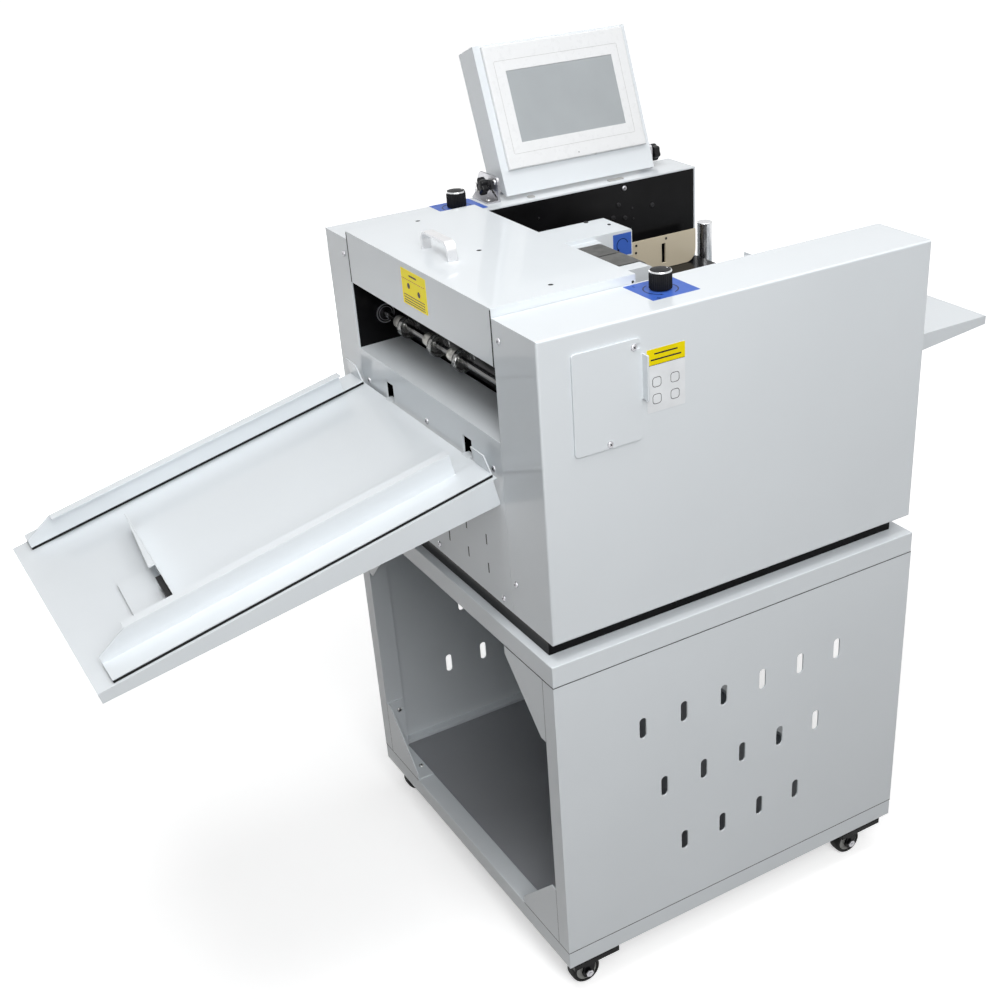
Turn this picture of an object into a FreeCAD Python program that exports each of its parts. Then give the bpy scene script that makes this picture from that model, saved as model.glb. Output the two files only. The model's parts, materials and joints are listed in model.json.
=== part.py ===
"""A sheet-fed rotary die cutting machine on a castered steel cabinet, in millimetres."""
import FreeCAD, Part
import math
import os

Vector = FreeCAD.Vector
X_AXIS = Vector(1, 0, 0)
Y_AXIS = Vector(0, 1, 0)
Z_AXIS = Vector(0, 0, 1)
ORIGIN = Vector(0, 0, 0)

# Layout: X across the sheet with 0 on the sheet's centreline, Y from delivery to feed, Z up
paper_gap = 349.3
near_cover_width = 84.8
far_cover_width = 62.9
body_depth = 500.0
cover_height = 336.1
cover_sheet = 2.0
cover_edge_radius = 2.5
seam = 0.5
slide_gap = 0.2
running_gap = 0.05

# Cabinet
caster_height = 52.0
base_height = 24.5
panel_height = 381.6
top_pan_height = 26.3
cabinet_side_overhang = 7.0
cabinet_front_overhang = 7.5
cabinet_rear_overhang = 0.7
cabinet_sheet = 2.0
pan_side_rim = 14.5
pan_end_rim = 25.0
pan_fold = 6.0
post_width = 23.0
post_return = 26.0
floor_rear_gap = 62.0
slot_width = 9.5
slot_height = 28.0
slot_top_drop = 98.2
slot_row_pitch = 94.5
slot_pitch = 56.8
slot_first_y = 105.2
slot_top_count = 6
slot_rows = 3
gusset_leg = 83.5
gusset_tip = 11.0
gusset_flange = 24.0

# Casters
caster_plate_length = 64.0
caster_plate_width = 50.0
caster_plate_thickness = 8.0
caster_front_inset = 38.5
caster_rear_inset = 49.2
caster_trail = 6.0
wheel_radius = 19.0
wheel_width = 18.0
wheel_edge_radius = 3.0
axle_radius = 4.0
fork_leg = 2.5
fork_side_gap = 1.0
fork_head_radius = 15.0
fork_head_gap = 0.4
fork_eye_radius = 8.0
stem_radius = 5.0
stem_length = 6.0

# Plinth and side frames
plinth_height = 20.0
plinth_inset = 16.0
plinth_front_inset = 3.0
plinth_wall = 3.0
frame_thickness = 8.0
frame_margin = 3.0

# Sheet path, with heights above the covers' lower edge
delivery_y = 38.8
delivery_shaft_height = 237.9
delivery_shaft_radius = 4.0
delivery_wheel_radius = 13.0
delivery_wheel_width = 8.0
delivery_wheel_places = (-115.5, -38.5, 21.5, 140.0)
sleeve_radius = 7.6
sleeve_length = 18.5
collar_radius = 8.6
collar_length = 3.5
nip_gap = 0.3
die_y = 86.0
die_nip_drop = 86.1
die_radius = 28.0
die_end_gap = 4.0
die_journal_radius = 8.0
bearing_wall = 4.0
bearing_step = 2.0
gear_teeth = 28
gear_width = 12.0
gear_frame_gap = 3.0
gear_tip_share = 0.25
gear_root_share = 0.62
gear_addendum = 0.85
gear_dedendum = 1.25
motor_radius = 30.0
motor_length = 46.0
motor_gap = 3.0
motor_plate = 3.0
motor_plate_half = 38.0
motor_post_offset = 33.0
motor_post_radius = 4.0
motor_bore_depth = 18.0

# Front panel and delivery deck
deck_height = 202.9
deck_depth = 60.0
deck_rise = 2.0
panel_flange = 25.0
hook_width = 16.0
hook_near_x = 97.3
hook_far_x = -96.4
hook_slot_side_gap = 2.0
hook_slot_top_height = 182.0
hook_slot_drop = 0.6
vent_width = 2.6
vent_height = 13.0
vent_pitch_x = 47.0
vent_pitch_z = 36.0
vent_first_x = -112.5
vent_first_height = 33.5
vent_columns = 6
vent_rows = 2

# Top cover
top_cover_depth = 170.2
top_cover_rise = 9.4
top_cover_side_gap = 1.0
top_flange_height = 60.6
top_side_flange = 24.0
pivot_rear_inset = 12.2
pivot_drop = 14.1
pivot_radius = 3.0
pivot_lug_radius = 8.0
cover_hole_radius = 3.0
cover_hole_y = 84.6
cover_hole_near_x = 147.6
cover_hole_mid_x = -4.5
cover_hole_far_x = -155.4
handle_x = -19.3
handle_y = 37.6
handle_depth = 11.3
handle_span = 65.5
handle_rise = 21.7
handle_strap = 3.5
handle_bend = 11.0

# Access door on the near cover's outer face
door_front_y = 36.5
door_width = 79.5
door_length = 108.0
door_top_drop = 21.1
door_thickness = 2.0
door_corner = 4.0
door_pivot_offset = 40.9
door_pivot_rise = 4.9
door_lock_inset = 8.2
door_lock_drop = 8.4
door_screw_radius = 2.2
door_frame_rim = 14.0
door_tab_length = 48.0
door_tab_drop = 17.0
door_tab_reach = 3.5
door_tab_stand = 11.0

# Screws
screw_radius = 2.0
screw_head_radius = 3.6
screw_head_height = 1.6
cover_screw_drop = 20.1
cover_screw_height = 41.5
panel_screw_edge = 19.5
panel_screw_low_height = 9.4
panel_screw_high_height = 167.0

# Feed head
feed_belt_drop = 26.1
feed_belt_radius = 15.0
feed_belt_thickness = 3.0
feed_belt_rear_y = 274.0
feed_drum_spacing = 74.0
feed_belt_far_x = -39.5
feed_belt_near_x = 46.5
feed_belt_slot = 2.0
feed_drum_end_gap = 1.0
feed_shaft_radius = 5.0
head_far_width = 60.0
head_near_width = 18.0
head_far_gap = 14.0
head_near_gap = 2.0
head_front_y = 122.0
head_near_rear_y = 267.0
head_far_rear_y = 318.0
head_far_rise = 5.0
head_drop = 28.0
head_bridge_depth = 24.0
head_bridge_drop = 24.0
head_wall = 2.5
head_case_corner = 3.0
head_cheek_corner = 9.0
head_bar = 16.0

# Feed table, its guides and the infeed table
feed_table_height = 217.0
feed_table_thickness = 3.0
feed_table_front_y = 150.0
feed_table_overhang = 1.0
feed_table_flange = 20.0
side_guide_offset = 155.5
side_guide_length = 147.0
side_guide_rear_inset = 13.0
side_guide_height = 43.0
side_guide_thickness = 3.0
side_guide_foot = 13.0
side_guide_foot_length = 100.0
side_guide_corner = 16.0
guide_slot_rear_inset = 52.0
guide_slot_width = 6.0
guide_slot_height = 26.0
guide_slot_rise = 4.0
infeed_height = 180.0
infeed_length = 196.0
infeed_gap = 4.0
infeed_flange_front = 30.0
infeed_flange_rear = 11.0
infeed_tongue = 20.0
infeed_tongue_inset = 20.0
post_radius = 10.5
post_height = 80.0
post_x = -174.5
post_setback = 15.5
post_edge_radius = 1.0
back_stop_setback = 83.0
back_stop_far_x = -174.5
back_stop_length = 210.0
back_stop_height = 25.0
back_stop_foot = 42.0

# Delivery tray: lengths run down the slope, heights stand square to it
tray_slope = 12.66
tray_length = 448.0
tray_width = 353.0
tray_near_x = 165.3
tray_sheet = 1.5
tray_rear_y = -3.0
tray_rear_height = 161.6
tray_flange_rear = 32.0
tray_flange_front = 12.0
tray_flange_setback = 4.5
hook_reach = 8.5
hook_leg_drop = 5.0
magnet_thickness = 3.0
guide_foot_width = 34.5
guide_start = 2.0
guide_wall_start = 29.0
guide_end = 430.0
guide_chamfer_start = 397.0
guide_end_height = 10.0
guide_wall_height = 26.0
guide_lip = 11.0
guide_near_x = 127.5
guide_far_x = -161.5
ear_height = 22.0
ear_taper = 6.5
stop_place = 335.0
stop_skew = 3.0
stop_far_x = -92.5
stop_length = 210.0
stop_height = 24.0
stop_foot_length = 115.0
stop_foot_depth = 42.0
stop_lip = 7.0
stop_lip_length = 130.0
stop_pad = 2.0
stop_block_length = 65.0
stop_block_depth = 6.0
stop_block_height = 15.0

# Screen unit on the far cover: widths run along Y, lengths run up the leaning front
screen_lean = 20.8
screen_bottom_x = -200.1
screen_bottom_rise = 33.9
bezel_front_y = 234.2
bezel_width = 204.0
bezel_length = 148.0
bezel_proud = 5.0
bezel_edge_radius = 2.0
box_front_y = 224.5
box_width = 220.5
box_below = 29.5
box_above = 151.0
box_depth = 40.0
box_wall = 2.0
box_bevel = 30.0
glass_width = 154.0
glass_length = 86.0
glass_offset_y = 25.6
glass_offset_up = 30.2
glass_thickness = 1.2
glass_sink = 0.6
tilt_x = -218.0
tilt_rise = 16.9
tilt_pin_radius = 3.0
ear_plate = 3.0
ear_plate_gap = 7.0
ear_plate_height = 30.0
ear_plate_corner = 6.0
ear_near_x = -194.0
ear_top_length = 47.0
ear_foot_length = 64.0
ear_rear_length = 27.0
bracket_plate = 2.0
bracket_edge = 3.0
bracket_tie = 6.0
bracket_foot_depth = 15.5
star_knob_gap = 0.4
star_knob_radius = 11.0
star_knob_length = 14.0
star_lobes = 6
star_lobe_radius = 4.5

# Pressure knobs on the covers
knob_radius = 12.0
knob_height = 20.0
knob_lift = 1.0
knob_edge_radius = 1.0
knob_stem_radius = 4.0
knob_boss_radius = 9.0
knob_boss_length = 12.0
knob_near_x = 206.4
knob_near_y = 178.6
knob_far_x = -210.0
knob_far_y = 164.4

# Power inlet and rocker switch on the rear panel
inlet_x = -100.0
inlet_height = 60.0
inlet_width = 28.0
inlet_length = 64.0
inlet_flange = 5.0
inlet_flange_thickness = 2.0
inlet_body_depth = 26.0
socket_width = 20.0
socket_length = 25.0
socket_depth = 17.0
socket_offset = 15.0
blade_pitch = 7.0
blade_length = 12.0
blade_thickness = 2.0
blade_width = 4.0
rocker_width = 14.0
rocker_length = 21.0
rocker_offset = 18.0
rocker_pivot_depth = 4.0
rocker_pin_radius = 1.5
rocker_room = 1.5
rocker_dish = 1.5
rocker_shoulder = 1.0

# Heights and places worked out from the sizes above
base_z = caster_height
panel_z = base_z + base_height
top_pan_z = panel_z + panel_height
slot_top_z = top_pan_z - slot_top_drop
plinth_z = top_pan_z + top_pan_height
body_z = plinth_z + plinth_height
cover_top_z = body_z + cover_height
gap_near_x = paper_gap / 2
gap_far_x = -paper_gap / 2
near_out_x = gap_near_x + near_cover_width
far_out_x = gap_far_x - far_cover_width
cabinet_x0 = far_out_x - cabinet_side_overhang
cabinet_x1 = near_out_x + cabinet_side_overhang
cabinet_y0 = -cabinet_front_overhang
cabinet_y1 = body_depth + cabinet_rear_overhang
caster_front_y = cabinet_y0 + caster_front_inset
caster_rear_y = cabinet_y1 - caster_rear_inset
frame_z0 = body_z + cover_sheet
frame_z1 = cover_top_z - cover_sheet
frame_near_out_x = gap_near_x + frame_thickness
frame_far_out_x = gap_far_x - frame_thickness
delivery_z = body_z + delivery_shaft_height
die_nip_z = cover_top_z - die_nip_drop
anvil_z = die_nip_z - nip_gap / 2 - die_radius
die_z = die_nip_z + nip_gap / 2 + die_radius
gear_x0 = frame_near_out_x + bearing_step + gear_frame_gap
gear_x1 = gear_x0 + gear_width
motor_x0 = gear_x1 + motor_gap
feed_belt_top_z = cover_top_z - feed_belt_drop
feed_drum_z = feed_belt_top_z - feed_belt_radius
feed_drum_rear_y = feed_belt_rear_y - feed_belt_radius
feed_drum_front_y = feed_drum_rear_y - feed_drum_spacing
feed_drum_radius = feed_belt_radius - feed_belt_thickness - nip_gap
head_near_x0 = feed_belt_near_x + head_near_gap
head_near_x1 = head_near_x0 + head_near_width
head_far_x1 = feed_belt_far_x - head_far_gap
head_far_x0 = head_far_x1 - head_far_width
head_bottom_z = feed_belt_top_z - head_drop
feed_table_z = body_z + feed_table_height
feed_table_rear_y = body_depth + feed_table_overhang
side_guide_rear_y = body_depth - side_guide_rear_inset
side_guide_front_y = side_guide_rear_y - side_guide_length
guide_slot_y = side_guide_rear_y - guide_slot_rear_inset
infeed_front_y = body_depth + infeed_gap
infeed_rear_y = infeed_front_y + infeed_length
post_y = body_depth + post_setback
back_stop_y = body_depth + back_stop_setback
infeed_z = body_z + infeed_height
tray_far_x = tray_near_x - tray_width
tray_rear_z = body_z + tray_rear_height
guide_foot_h = slide_gap + magnet_thickness
pivot_y = top_cover_depth - pivot_rear_inset
pivot_z = cover_top_z - pivot_drop
top_cover_z = cover_top_z + top_cover_rise
door_rear_y = door_front_y + door_width
door_z1 = cover_top_z - door_top_drop
door_z0 = door_z1 - door_length
door_pivot_y = door_front_y + door_pivot_offset
door_pivot_z = door_z0 + door_pivot_rise
door_lock_y = door_rear_y - door_lock_inset
door_lock_z = door_z1 - door_lock_drop
door_x0 = near_out_x + slide_gap
door_x1 = door_x0 + door_thickness
screen_bottom_z = cover_top_z + screen_bottom_rise
tilt_z = cover_top_z + tilt_rise
box_rear_y = box_front_y + box_width
inlet_z = body_z + inlet_height
socket_z = inlet_z - socket_offset
rocker_z = inlet_z + rocker_offset
rocker_y = body_depth - rocker_pivot_depth


def block(x0, x1, y0, y1, z0, z1):
    """A box between two values on each axis, given in any order."""
    low = Vector(min(x0, x1), min(y0, y1), min(z0, z1))
    return Part.makeBox(abs(x1 - x0), abs(y1 - y0), abs(z1 - z0), low)


def rod_x(x0, x1, y, z, radius):
    return Part.makeCylinder(radius, abs(x1 - x0), Vector(min(x0, x1), y, z), X_AXIS)


def rod_y(y0, y1, x, z, radius):
    return Part.makeCylinder(radius, abs(y1 - y0), Vector(x, min(y0, y1), z), Y_AXIS)


def rod_z(z0, z1, x, y, radius):
    return Part.makeCylinder(radius, abs(z1 - z0), Vector(x, y, min(z0, z1)), Z_AXIS)


def prism(points, along):
    """A straight prism on a closed outline of points."""
    return Part.Face(Part.makePolygon(points + points[:1])).extrude(along)


def prism_x(outline, x0, x1):
    return prism([Vector(x0, y, z) for y, z in outline], Vector(x1 - x0, 0, 0))


def prism_y(outline, y0, y1):
    return prism([Vector(x, y0, z) for x, z in outline], Vector(0, y1 - y0, 0))


def prism_z(outline, z0, z1):
    return prism([Vector(x, y, z0) for x, y in outline], Vector(0, 0, z1 - z0))


def join(shapes):
    return shapes[0].fuse(shapes[1:]).removeSplitter()


def cut(shape, tools):
    return shape.cut(Part.makeCompound(tools))


def group(shapes):
    return Part.makeCompound(shapes)


def plate_y(x, z, half_x, half_z, y0, y1):
    """A block given by the middle and half sizes of its X-Z face."""
    return block(x - half_x, x + half_x, y0, y1, z - half_z, z + half_z)


def round_edges(shape, radius, wanted):
    """Rounds the edges whose mid point passes the test."""
    edges = [edge for edge in shape.Edges if wanted(edge.CenterOfMass)]
    return shape.makeFillet(radius, edges)


def obround_x(y, z, width, height, x0, x1):
    """An upright slot with round ends, right through a plate that faces X."""
    rise = (height - width) / 2
    ends = [rod_x(x0, x1, y, z + side * rise, width / 2) for side in (-1, 1)]
    return join([block(x0, x1, y - width / 2, y + width / 2, z - rise, z + rise)] + ends)


def screw(point, outward):
    """A screw with its head on a sheet's face and its shank through the sheet."""
    head = Part.makeCylinder(screw_head_radius, screw_head_height, point, outward)
    shank = Part.makeCylinder(screw_radius, cover_sheet, point, outward * -1)
    return head.fuse(shank).removeSplitter()


def screw_hole(point, outward):
    return Part.makeCylinder(screw_radius, cover_sheet, point, outward * -1)


def cabinet_pan(z0, z1, rim_z, inside):
    """A shallow folded pan whose turned-in rim ends in a short fold pointing inside."""
    fold_z = rim_z + inside * pan_fold

    def inset(edge_x, edge_y, low_z, high_z):
        x0 = cabinet_x0 + edge_x
        y0 = cabinet_y0 + edge_y
        return block(x0, cabinet_x1 - edge_x, y0, cabinet_y1 - edge_y, low_z, high_z)

    wall = cabinet_sheet
    hollow = inset(wall, wall, z0 + wall, z1 - wall)
    mouth = inset(pan_side_rim, pan_end_rim, rim_z, fold_z)
    fold = cut(inset(pan_side_rim - wall, pan_end_rim - wall, rim_z, fold_z), [mouth])
    return join([cut(inset(0, 0, z0, z1), [hollow, mouth]), fold])


def cabinet_side(outer_x, inward, turned_over):
    """A side panel with rows of upright slots, folded into a hollow post at each end."""
    inner_x = outer_x + inward * cabinet_sheet
    flange_x = outer_x + inward * post_width
    return_x = flange_x - inward * cabinet_sheet
    sheets = [block(outer_x, inner_x, cabinet_y0, cabinet_y1, panel_z, top_pan_z)]
    for end_y, deeper in ((cabinet_y0, 1), (cabinet_y1, -1)):
        face_y = end_y + deeper * cabinet_sheet
        return_y = end_y + deeper * post_return
        sheets.append(block(outer_x, flange_x, end_y, face_y, panel_z, top_pan_z))
        sheets.append(block(return_x, flange_x, end_y, return_y, panel_z, top_pan_z))
    slots = []
    for row in range(slot_rows):
        z = slot_top_z - row * slot_row_pitch
        if turned_over:
            z = panel_z + top_pan_z - z
        for column in range(slot_top_count - row):
            y = slot_first_y + (column + row / 2) * slot_pitch
            slots.append(obround_x(y, z, slot_width, slot_height, outer_x, inner_x))
    return cut(join(sheets), slots)


def cabinet_floor():
    """The floor plate, held up against the folds of the base pan's rim."""
    edge_x = pan_side_rim - cabinet_sheet
    y0 = cabinet_y0 + pan_end_rim - cabinet_sheet
    y1 = cabinet_y1 - floor_rear_gap
    top_z = panel_z - pan_fold
    return block(cabinet_x0 + edge_x, cabinet_x1 - edge_x, y0, y1, top_z - cabinet_sheet, top_z)


def gusset(corner_x, inward, corner_z, upward, end_y, deeper):
    """A corner plate flush with the posts, with a flange on the post and one on the rim."""
    tip_x = corner_x + inward * gusset_tip
    leg_x = corner_x + inward * gusset_leg
    tip_z = corner_z + upward * gusset_tip
    leg_z = corner_z + upward * gusset_leg
    outline = [
        (corner_x, corner_z),
        (leg_x, corner_z),
        (leg_x, tip_z),
        (tip_x, leg_z),
        (corner_x, leg_z),
    ]
    flange_y = end_y + deeper * gusset_flange
    side_x = corner_x + inward * cabinet_sheet
    rim_z = corner_z + upward * cabinet_sheet
    plate = prism_y(outline, end_y, end_y + deeper * cabinet_sheet)
    on_post = block(corner_x, side_x, end_y, flange_y, corner_z, leg_z)
    on_rim = block(corner_x, leg_x, end_y, flange_y, corner_z, rim_z)
    return join([plate, on_post, on_rim])


def cabinet_stiffeners():
    """Four gussets at each open end of the cabinet."""
    solids = []
    for end_y, deeper in ((cabinet_y0, 1), (cabinet_y1, -1)):
        for corner_x, inward in ((cabinet_x1 - post_width, -1), (cabinet_x0 + post_width, 1)):
            solids.append(gusset(corner_x, inward, panel_z, 1, end_y, deeper))
            solids.append(gusset(corner_x, inward, top_pan_z, -1, end_y, deeper))
    return group(solids)


def caster_places():
    """Name, X and Y of each caster's swivel line."""
    near_x = cabinet_x1 - caster_plate_width / 2
    far_x = cabinet_x0 + caster_plate_width / 2
    return [
        ("front_near", near_x, caster_front_y),
        ("rear_near", near_x, caster_rear_y),
        ("front_far", far_x, caster_front_y),
        ("rear_far", far_x, caster_rear_y),
    ]


def caster_plates():
    plates = []
    plate_z = base_z - caster_plate_thickness
    for name, x, y in caster_places():
        half_x = caster_plate_width / 2
        half_y = caster_plate_length / 2
        plate = block(x - half_x, x + half_x, y - half_y, y + half_y, plate_z, base_z)
        socket = rod_z(plate_z, plate_z + stem_length + seam, x, y, stem_radius + running_gap)
        plates.append(plate.cut(socket))
    return group(plates)


def caster_fork(x, y):
    """Swivel head with its stem, two legs and the axle."""
    head_z1 = base_z - caster_plate_thickness - fork_head_gap
    axle_y = y - caster_trail
    axle_z = wheel_radius
    head_z0 = 2 * wheel_radius + fork_side_gap
    inner = wheel_width / 2 + fork_side_gap
    outer = inner + fork_leg
    pieces = [
        rod_z(head_z0, head_z1, x, y, fork_head_radius),
        rod_z(head_z0, base_z - caster_plate_thickness + stem_length, x, y, stem_radius),
        rod_x(x - outer, x + outer, axle_y, axle_z, axle_radius),
    ]
    half = fork_eye_radius
    for side in (-1, 1):
        leg = prism_x(
            [
                (axle_y - half, axle_z),
                (axle_y + half, axle_z),
                (y + half, head_z1),
                (y - half, head_z1),
            ],
            x + side * inner,
            x + side * outer,
        )
        pieces.append(leg)
        pieces.append(rod_x(x + side * inner, x + side * outer, axle_y, axle_z, half))
    return join(pieces)


def caster_wheel(x, y):
    axle_y = y - caster_trail
    half = wheel_width / 2
    wheel = rod_x(x - half, x + half, axle_y, wheel_radius, wheel_radius)
    wheel = wheel.makeFillet(wheel_edge_radius, wheel.Edges)
    bore = rod_x(x - half, x + half, axle_y, wheel_radius, axle_radius + running_gap)
    return wheel.cut(bore)


def plinth():
    """The dark recessed chassis that carries the machine on the cabinet."""
    inset = plinth_inset
    wall = plinth_wall
    x0 = far_out_x + inset
    x1 = near_out_x - inset
    y0 = plinth_front_inset
    y1 = body_depth - inset
    outer = block(x0, x1, y0, y1, plinth_z, body_z)
    return outer.cut(block(x0 + wall, x1 - wall, y0 + wall, y1 - wall, plinth_z, body_z - wall))


def shaft_lines():
    """Y, Z and journal radius of every shaft that runs through both side frames."""
    return [
        (delivery_y, delivery_z, delivery_shaft_radius),
        (die_y, die_z, die_journal_radius),
        (die_y, anvil_z, die_journal_radius),
    ]


def side_frame(x0, x1):
    plate = block(x0, x1, frame_margin, body_depth - frame_margin, frame_z0, frame_z1)
    bores = [rod_x(x0, x1, y, z, radius + bearing_wall) for y, z, radius in shaft_lines()]
    bores.append(rod_x(x0, x1, pivot_y, pivot_z, pivot_radius))
    return cut(plate, bores)


def shaft_bearings():
    """Flanged rings pressed into the frames, standing a little proud of both faces."""
    rings = []
    for x0, x1 in ((gap_near_x, frame_near_out_x), (frame_far_out_x, gap_far_x)):
        for y, z, radius in shaft_lines():
            ring = rod_x(x0 - bearing_step, x1 + bearing_step, y, z, radius + bearing_wall)
            bore = rod_x(x0 - bearing_step, x1 + bearing_step, y, z, radius + running_gap)
            rings.append(ring.cut(bore))
    return group(rings)


def cover_screw_points(x):
    return [Vector(x, 0, cover_top_z - cover_screw_drop), Vector(x, 0, body_z + cover_screw_height)]


def near_screw_points():
    return cover_screw_points(frame_near_out_x + screw_head_radius)


def far_screw_points():
    return cover_screw_points(frame_far_out_x - screw_head_radius)


def panel_screw_points():
    """Two rows of three screws on the front panel."""
    edge = gap_near_x - panel_screw_edge
    points = []
    for height in (panel_screw_low_height, panel_screw_high_height):
        for x in (-edge, 0, edge):
            points.append(Vector(x, 0, body_z + height))
    return points


def cover_screws():
    forward = Y_AXIS * -1
    points = near_screw_points() + far_screw_points() + panel_screw_points()
    screws = [screw(point, forward) for point in points]
    head_x = door_x1 + slide_gap
    for y, z in ((door_pivot_y, door_pivot_z), (door_lock_y, door_lock_z)):
        shank = rod_x(near_out_x - cover_sheet, head_x, y, z, door_screw_radius)
        head = rod_x(head_x, head_x + screw_head_height, y, z, screw_head_radius)
        screws.append(join([shank, head]))
    for start_x, end_x in ((frame_near_out_x, gap_near_x), (frame_far_out_x, gap_far_x)):
        inward = math.copysign(top_cover_side_gap + cover_sheet + seam, end_x - start_x)
        screws.append(rod_x(start_x, end_x + inward, pivot_y, pivot_z, pivot_radius))
    return group(screws)


def cover_shell(inner_x, outer_x, knob_x, knob_y):
    """A five-sided folded cover, open towards its side frame, with a boss for a knob's stem."""
    inward = math.copysign(1, inner_x - outer_x)
    outer = block(inner_x, outer_x, 0, body_depth, body_z, cover_top_z)

    def on_outer_face(point):
        return abs(point.x - outer_x) < cover_edge_radius

    outer = round_edges(outer, cover_edge_radius, on_outer_face)
    wall = cover_sheet
    hollow_x = outer_x + inward * wall
    rear_y = body_depth - wall
    hollow = block(inner_x + inward, hollow_x, wall, rear_y, body_z + wall, cover_top_z - wall)
    boss = rod_z(cover_top_z - knob_boss_length, cover_top_z - wall, knob_x, knob_y, knob_boss_radius)
    bore = rod_z(
        cover_top_z - knob_boss_length, cover_top_z, knob_x, knob_y, knob_stem_radius + running_gap
    )
    return join([outer.cut(hollow), boss]).cut(bore)


def near_cover():
    shell = cover_shell(gap_near_x, near_out_x, knob_near_x, knob_near_y)
    forward = Y_AXIS * -1
    tools = [screw_hole(point, forward) for point in near_screw_points()]
    rim = door_frame_rim
    window_z0 = door_z0 + rim
    window_z1 = door_z1 - rim
    wall_x = near_out_x - cover_sheet
    tools.append(block(wall_x, near_out_x, door_front_y + rim, door_rear_y - rim, window_z0, window_z1))
    for y, z in ((door_pivot_y, door_pivot_z), (door_lock_y, door_lock_z)):
        tools.append(rod_x(wall_x, near_out_x, y, z, door_screw_radius))
    return cut(shell, tools)


def far_cover():
    shell = cover_shell(gap_far_x, far_out_x, knob_far_x, knob_far_y)
    return cut(shell, [screw_hole(point, Y_AXIS * -1) for point in far_screw_points()])


def front_panel():
    """Front sheet folded back into the delivery deck above and a flange on the plinth below."""
    sheet = cover_sheet
    deck_z = body_z + deck_height
    outline = [
        (0, body_z),
        (panel_flange, body_z),
        (panel_flange, body_z + sheet),
        (sheet, body_z + sheet),
        (sheet, deck_z - sheet),
        (deck_depth, deck_z - sheet + deck_rise),
        (deck_depth, deck_z + deck_rise),
        (0, deck_z),
    ]
    panel = prism_x(outline, gap_far_x + seam, gap_near_x - seam)
    tools = [screw_hole(point, Y_AXIS * -1) for point in panel_screw_points()]
    half = hook_width / 2 + hook_slot_side_gap
    slot_z0 = tray_rear_z - tray_sheet - hook_slot_drop
    for x in (hook_near_x, hook_far_x):
        tools.append(block(x - half, x + half, 0, sheet, slot_z0, body_z + hook_slot_top_height))
    for row in range(vent_rows):
        z = body_z + vent_first_height + row * vent_pitch_z
        for column in range(vent_columns):
            x = vent_first_x + column * vent_pitch_x
            tools.append(block(x, x + vent_width, 0, sheet, z - vent_height / 2, z + vent_height / 2))
    return cut(panel, tools)


def rear_panel():
    """Rear sheet with a flange on the plinth and one under the infeed table's tongue."""
    sheet = cover_sheet
    top_z = infeed_z - tray_sheet
    outline = [
        (body_depth - panel_flange, body_z),
        (body_depth, body_z),
        (body_depth, top_z),
        (body_depth - panel_flange, top_z),
        (body_depth - panel_flange, top_z - sheet),
        (body_depth - sheet, top_z - sheet),
        (body_depth - sheet, body_z + sheet),
        (body_depth - panel_flange, body_z + sheet),
    ]
    panel = prism_x(outline, gap_far_x + seam, gap_near_x - seam)
    half_x = inlet_width / 2
    half_z = inlet_length / 2
    window = plate_y(inlet_x, inlet_z, half_x, half_z, body_depth - sheet, body_depth)
    return panel.cut(window)


def top_cover():
    """Hinged lid with a deep front flange and side flanges that carry the pivot lugs."""
    sheet = cover_sheet
    x0 = gap_far_x + top_cover_side_gap
    x1 = gap_near_x - top_cover_side_gap
    lid = block(x0, x1, 0, top_cover_depth, top_cover_z - sheet, top_cover_z)
    flange = block(x0, x1, 0, sheet, top_cover_z - top_flange_height, top_cover_z)
    pieces = [lid, flange]
    for edge_x, inward in ((x0, 1), (x1, -1)):
        inner_x = edge_x + inward * sheet
        side_z = top_cover_z - top_side_flange
        pieces.append(block(edge_x, inner_x, 0, top_cover_depth, side_z, top_cover_z))
        pieces.append(rod_x(edge_x, inner_x, pivot_y, pivot_z, pivot_lug_radius))
        half = pivot_lug_radius
        pieces.append(block(edge_x, inner_x, pivot_y - half, pivot_y + half, pivot_z, top_cover_z))
    holes = [rod_x(x0, x1, pivot_y, pivot_z, pivot_radius + running_gap)]
    for x in (cover_hole_far_x, cover_hole_mid_x, cover_hole_near_x):
        holes.append(rod_z(top_cover_z - sheet, top_cover_z, x, cover_hole_y, cover_hole_radius))
    return cut(join(pieces), holes)


def top_handle():
    """A flat strap bent to a U, standing on the top cover."""

    def arch(inset):
        half = handle_span / 2 - inset
        crown_z = top_cover_z + handle_rise - inset
        y1 = handle_y + handle_depth
        solid = block(handle_x - half, handle_x + half, handle_y, y1, top_cover_z - inset, crown_z)

        def at_bend(point):
            return point.z > crown_z - seam and abs(point.x - handle_x) > half - seam

        return round_edges(solid, handle_bend - inset, at_bend)

    return arch(0).cut(arch(handle_strap))


def access_door():
    """Swinging plate with a pivot hole, a lock slot open to one edge and a bent finger tab."""
    plate = block(door_x0, door_x1, door_front_y, door_rear_y, door_z0, door_z1)
    corners = [(y, z) for y in (door_front_y, door_rear_y) for z in (door_z0, door_z1)]

    def on_corner(point):
        return any(abs(point.y - y) < seam and abs(point.z - z) < seam for y, z in corners)

    plate = round_edges(plate, door_corner, on_corner)
    tab_z1 = door_z1 - door_tab_drop
    tab_z0 = tab_z1 - door_tab_length
    tab_y = door_rear_y + door_tab_reach
    neck = block(door_x0, door_x1, door_rear_y, tab_y, tab_z0, tab_z1)
    tab = block(door_x0, door_x0 + door_tab_stand, tab_y - door_thickness, tab_y, tab_z0, tab_z1)
    room = door_screw_radius + 2 * slide_gap
    pivot = rod_x(door_x0, door_x1, door_pivot_y, door_pivot_z, door_screw_radius + running_gap)
    lock = rod_x(door_x0, door_x1, door_lock_y, door_lock_z, room)
    slot = block(door_x0, door_x1, door_lock_y, door_rear_y, door_lock_z - room, door_lock_z + room)
    return cut(join([plate, neck, tab]), [pivot, lock, slot])


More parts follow.
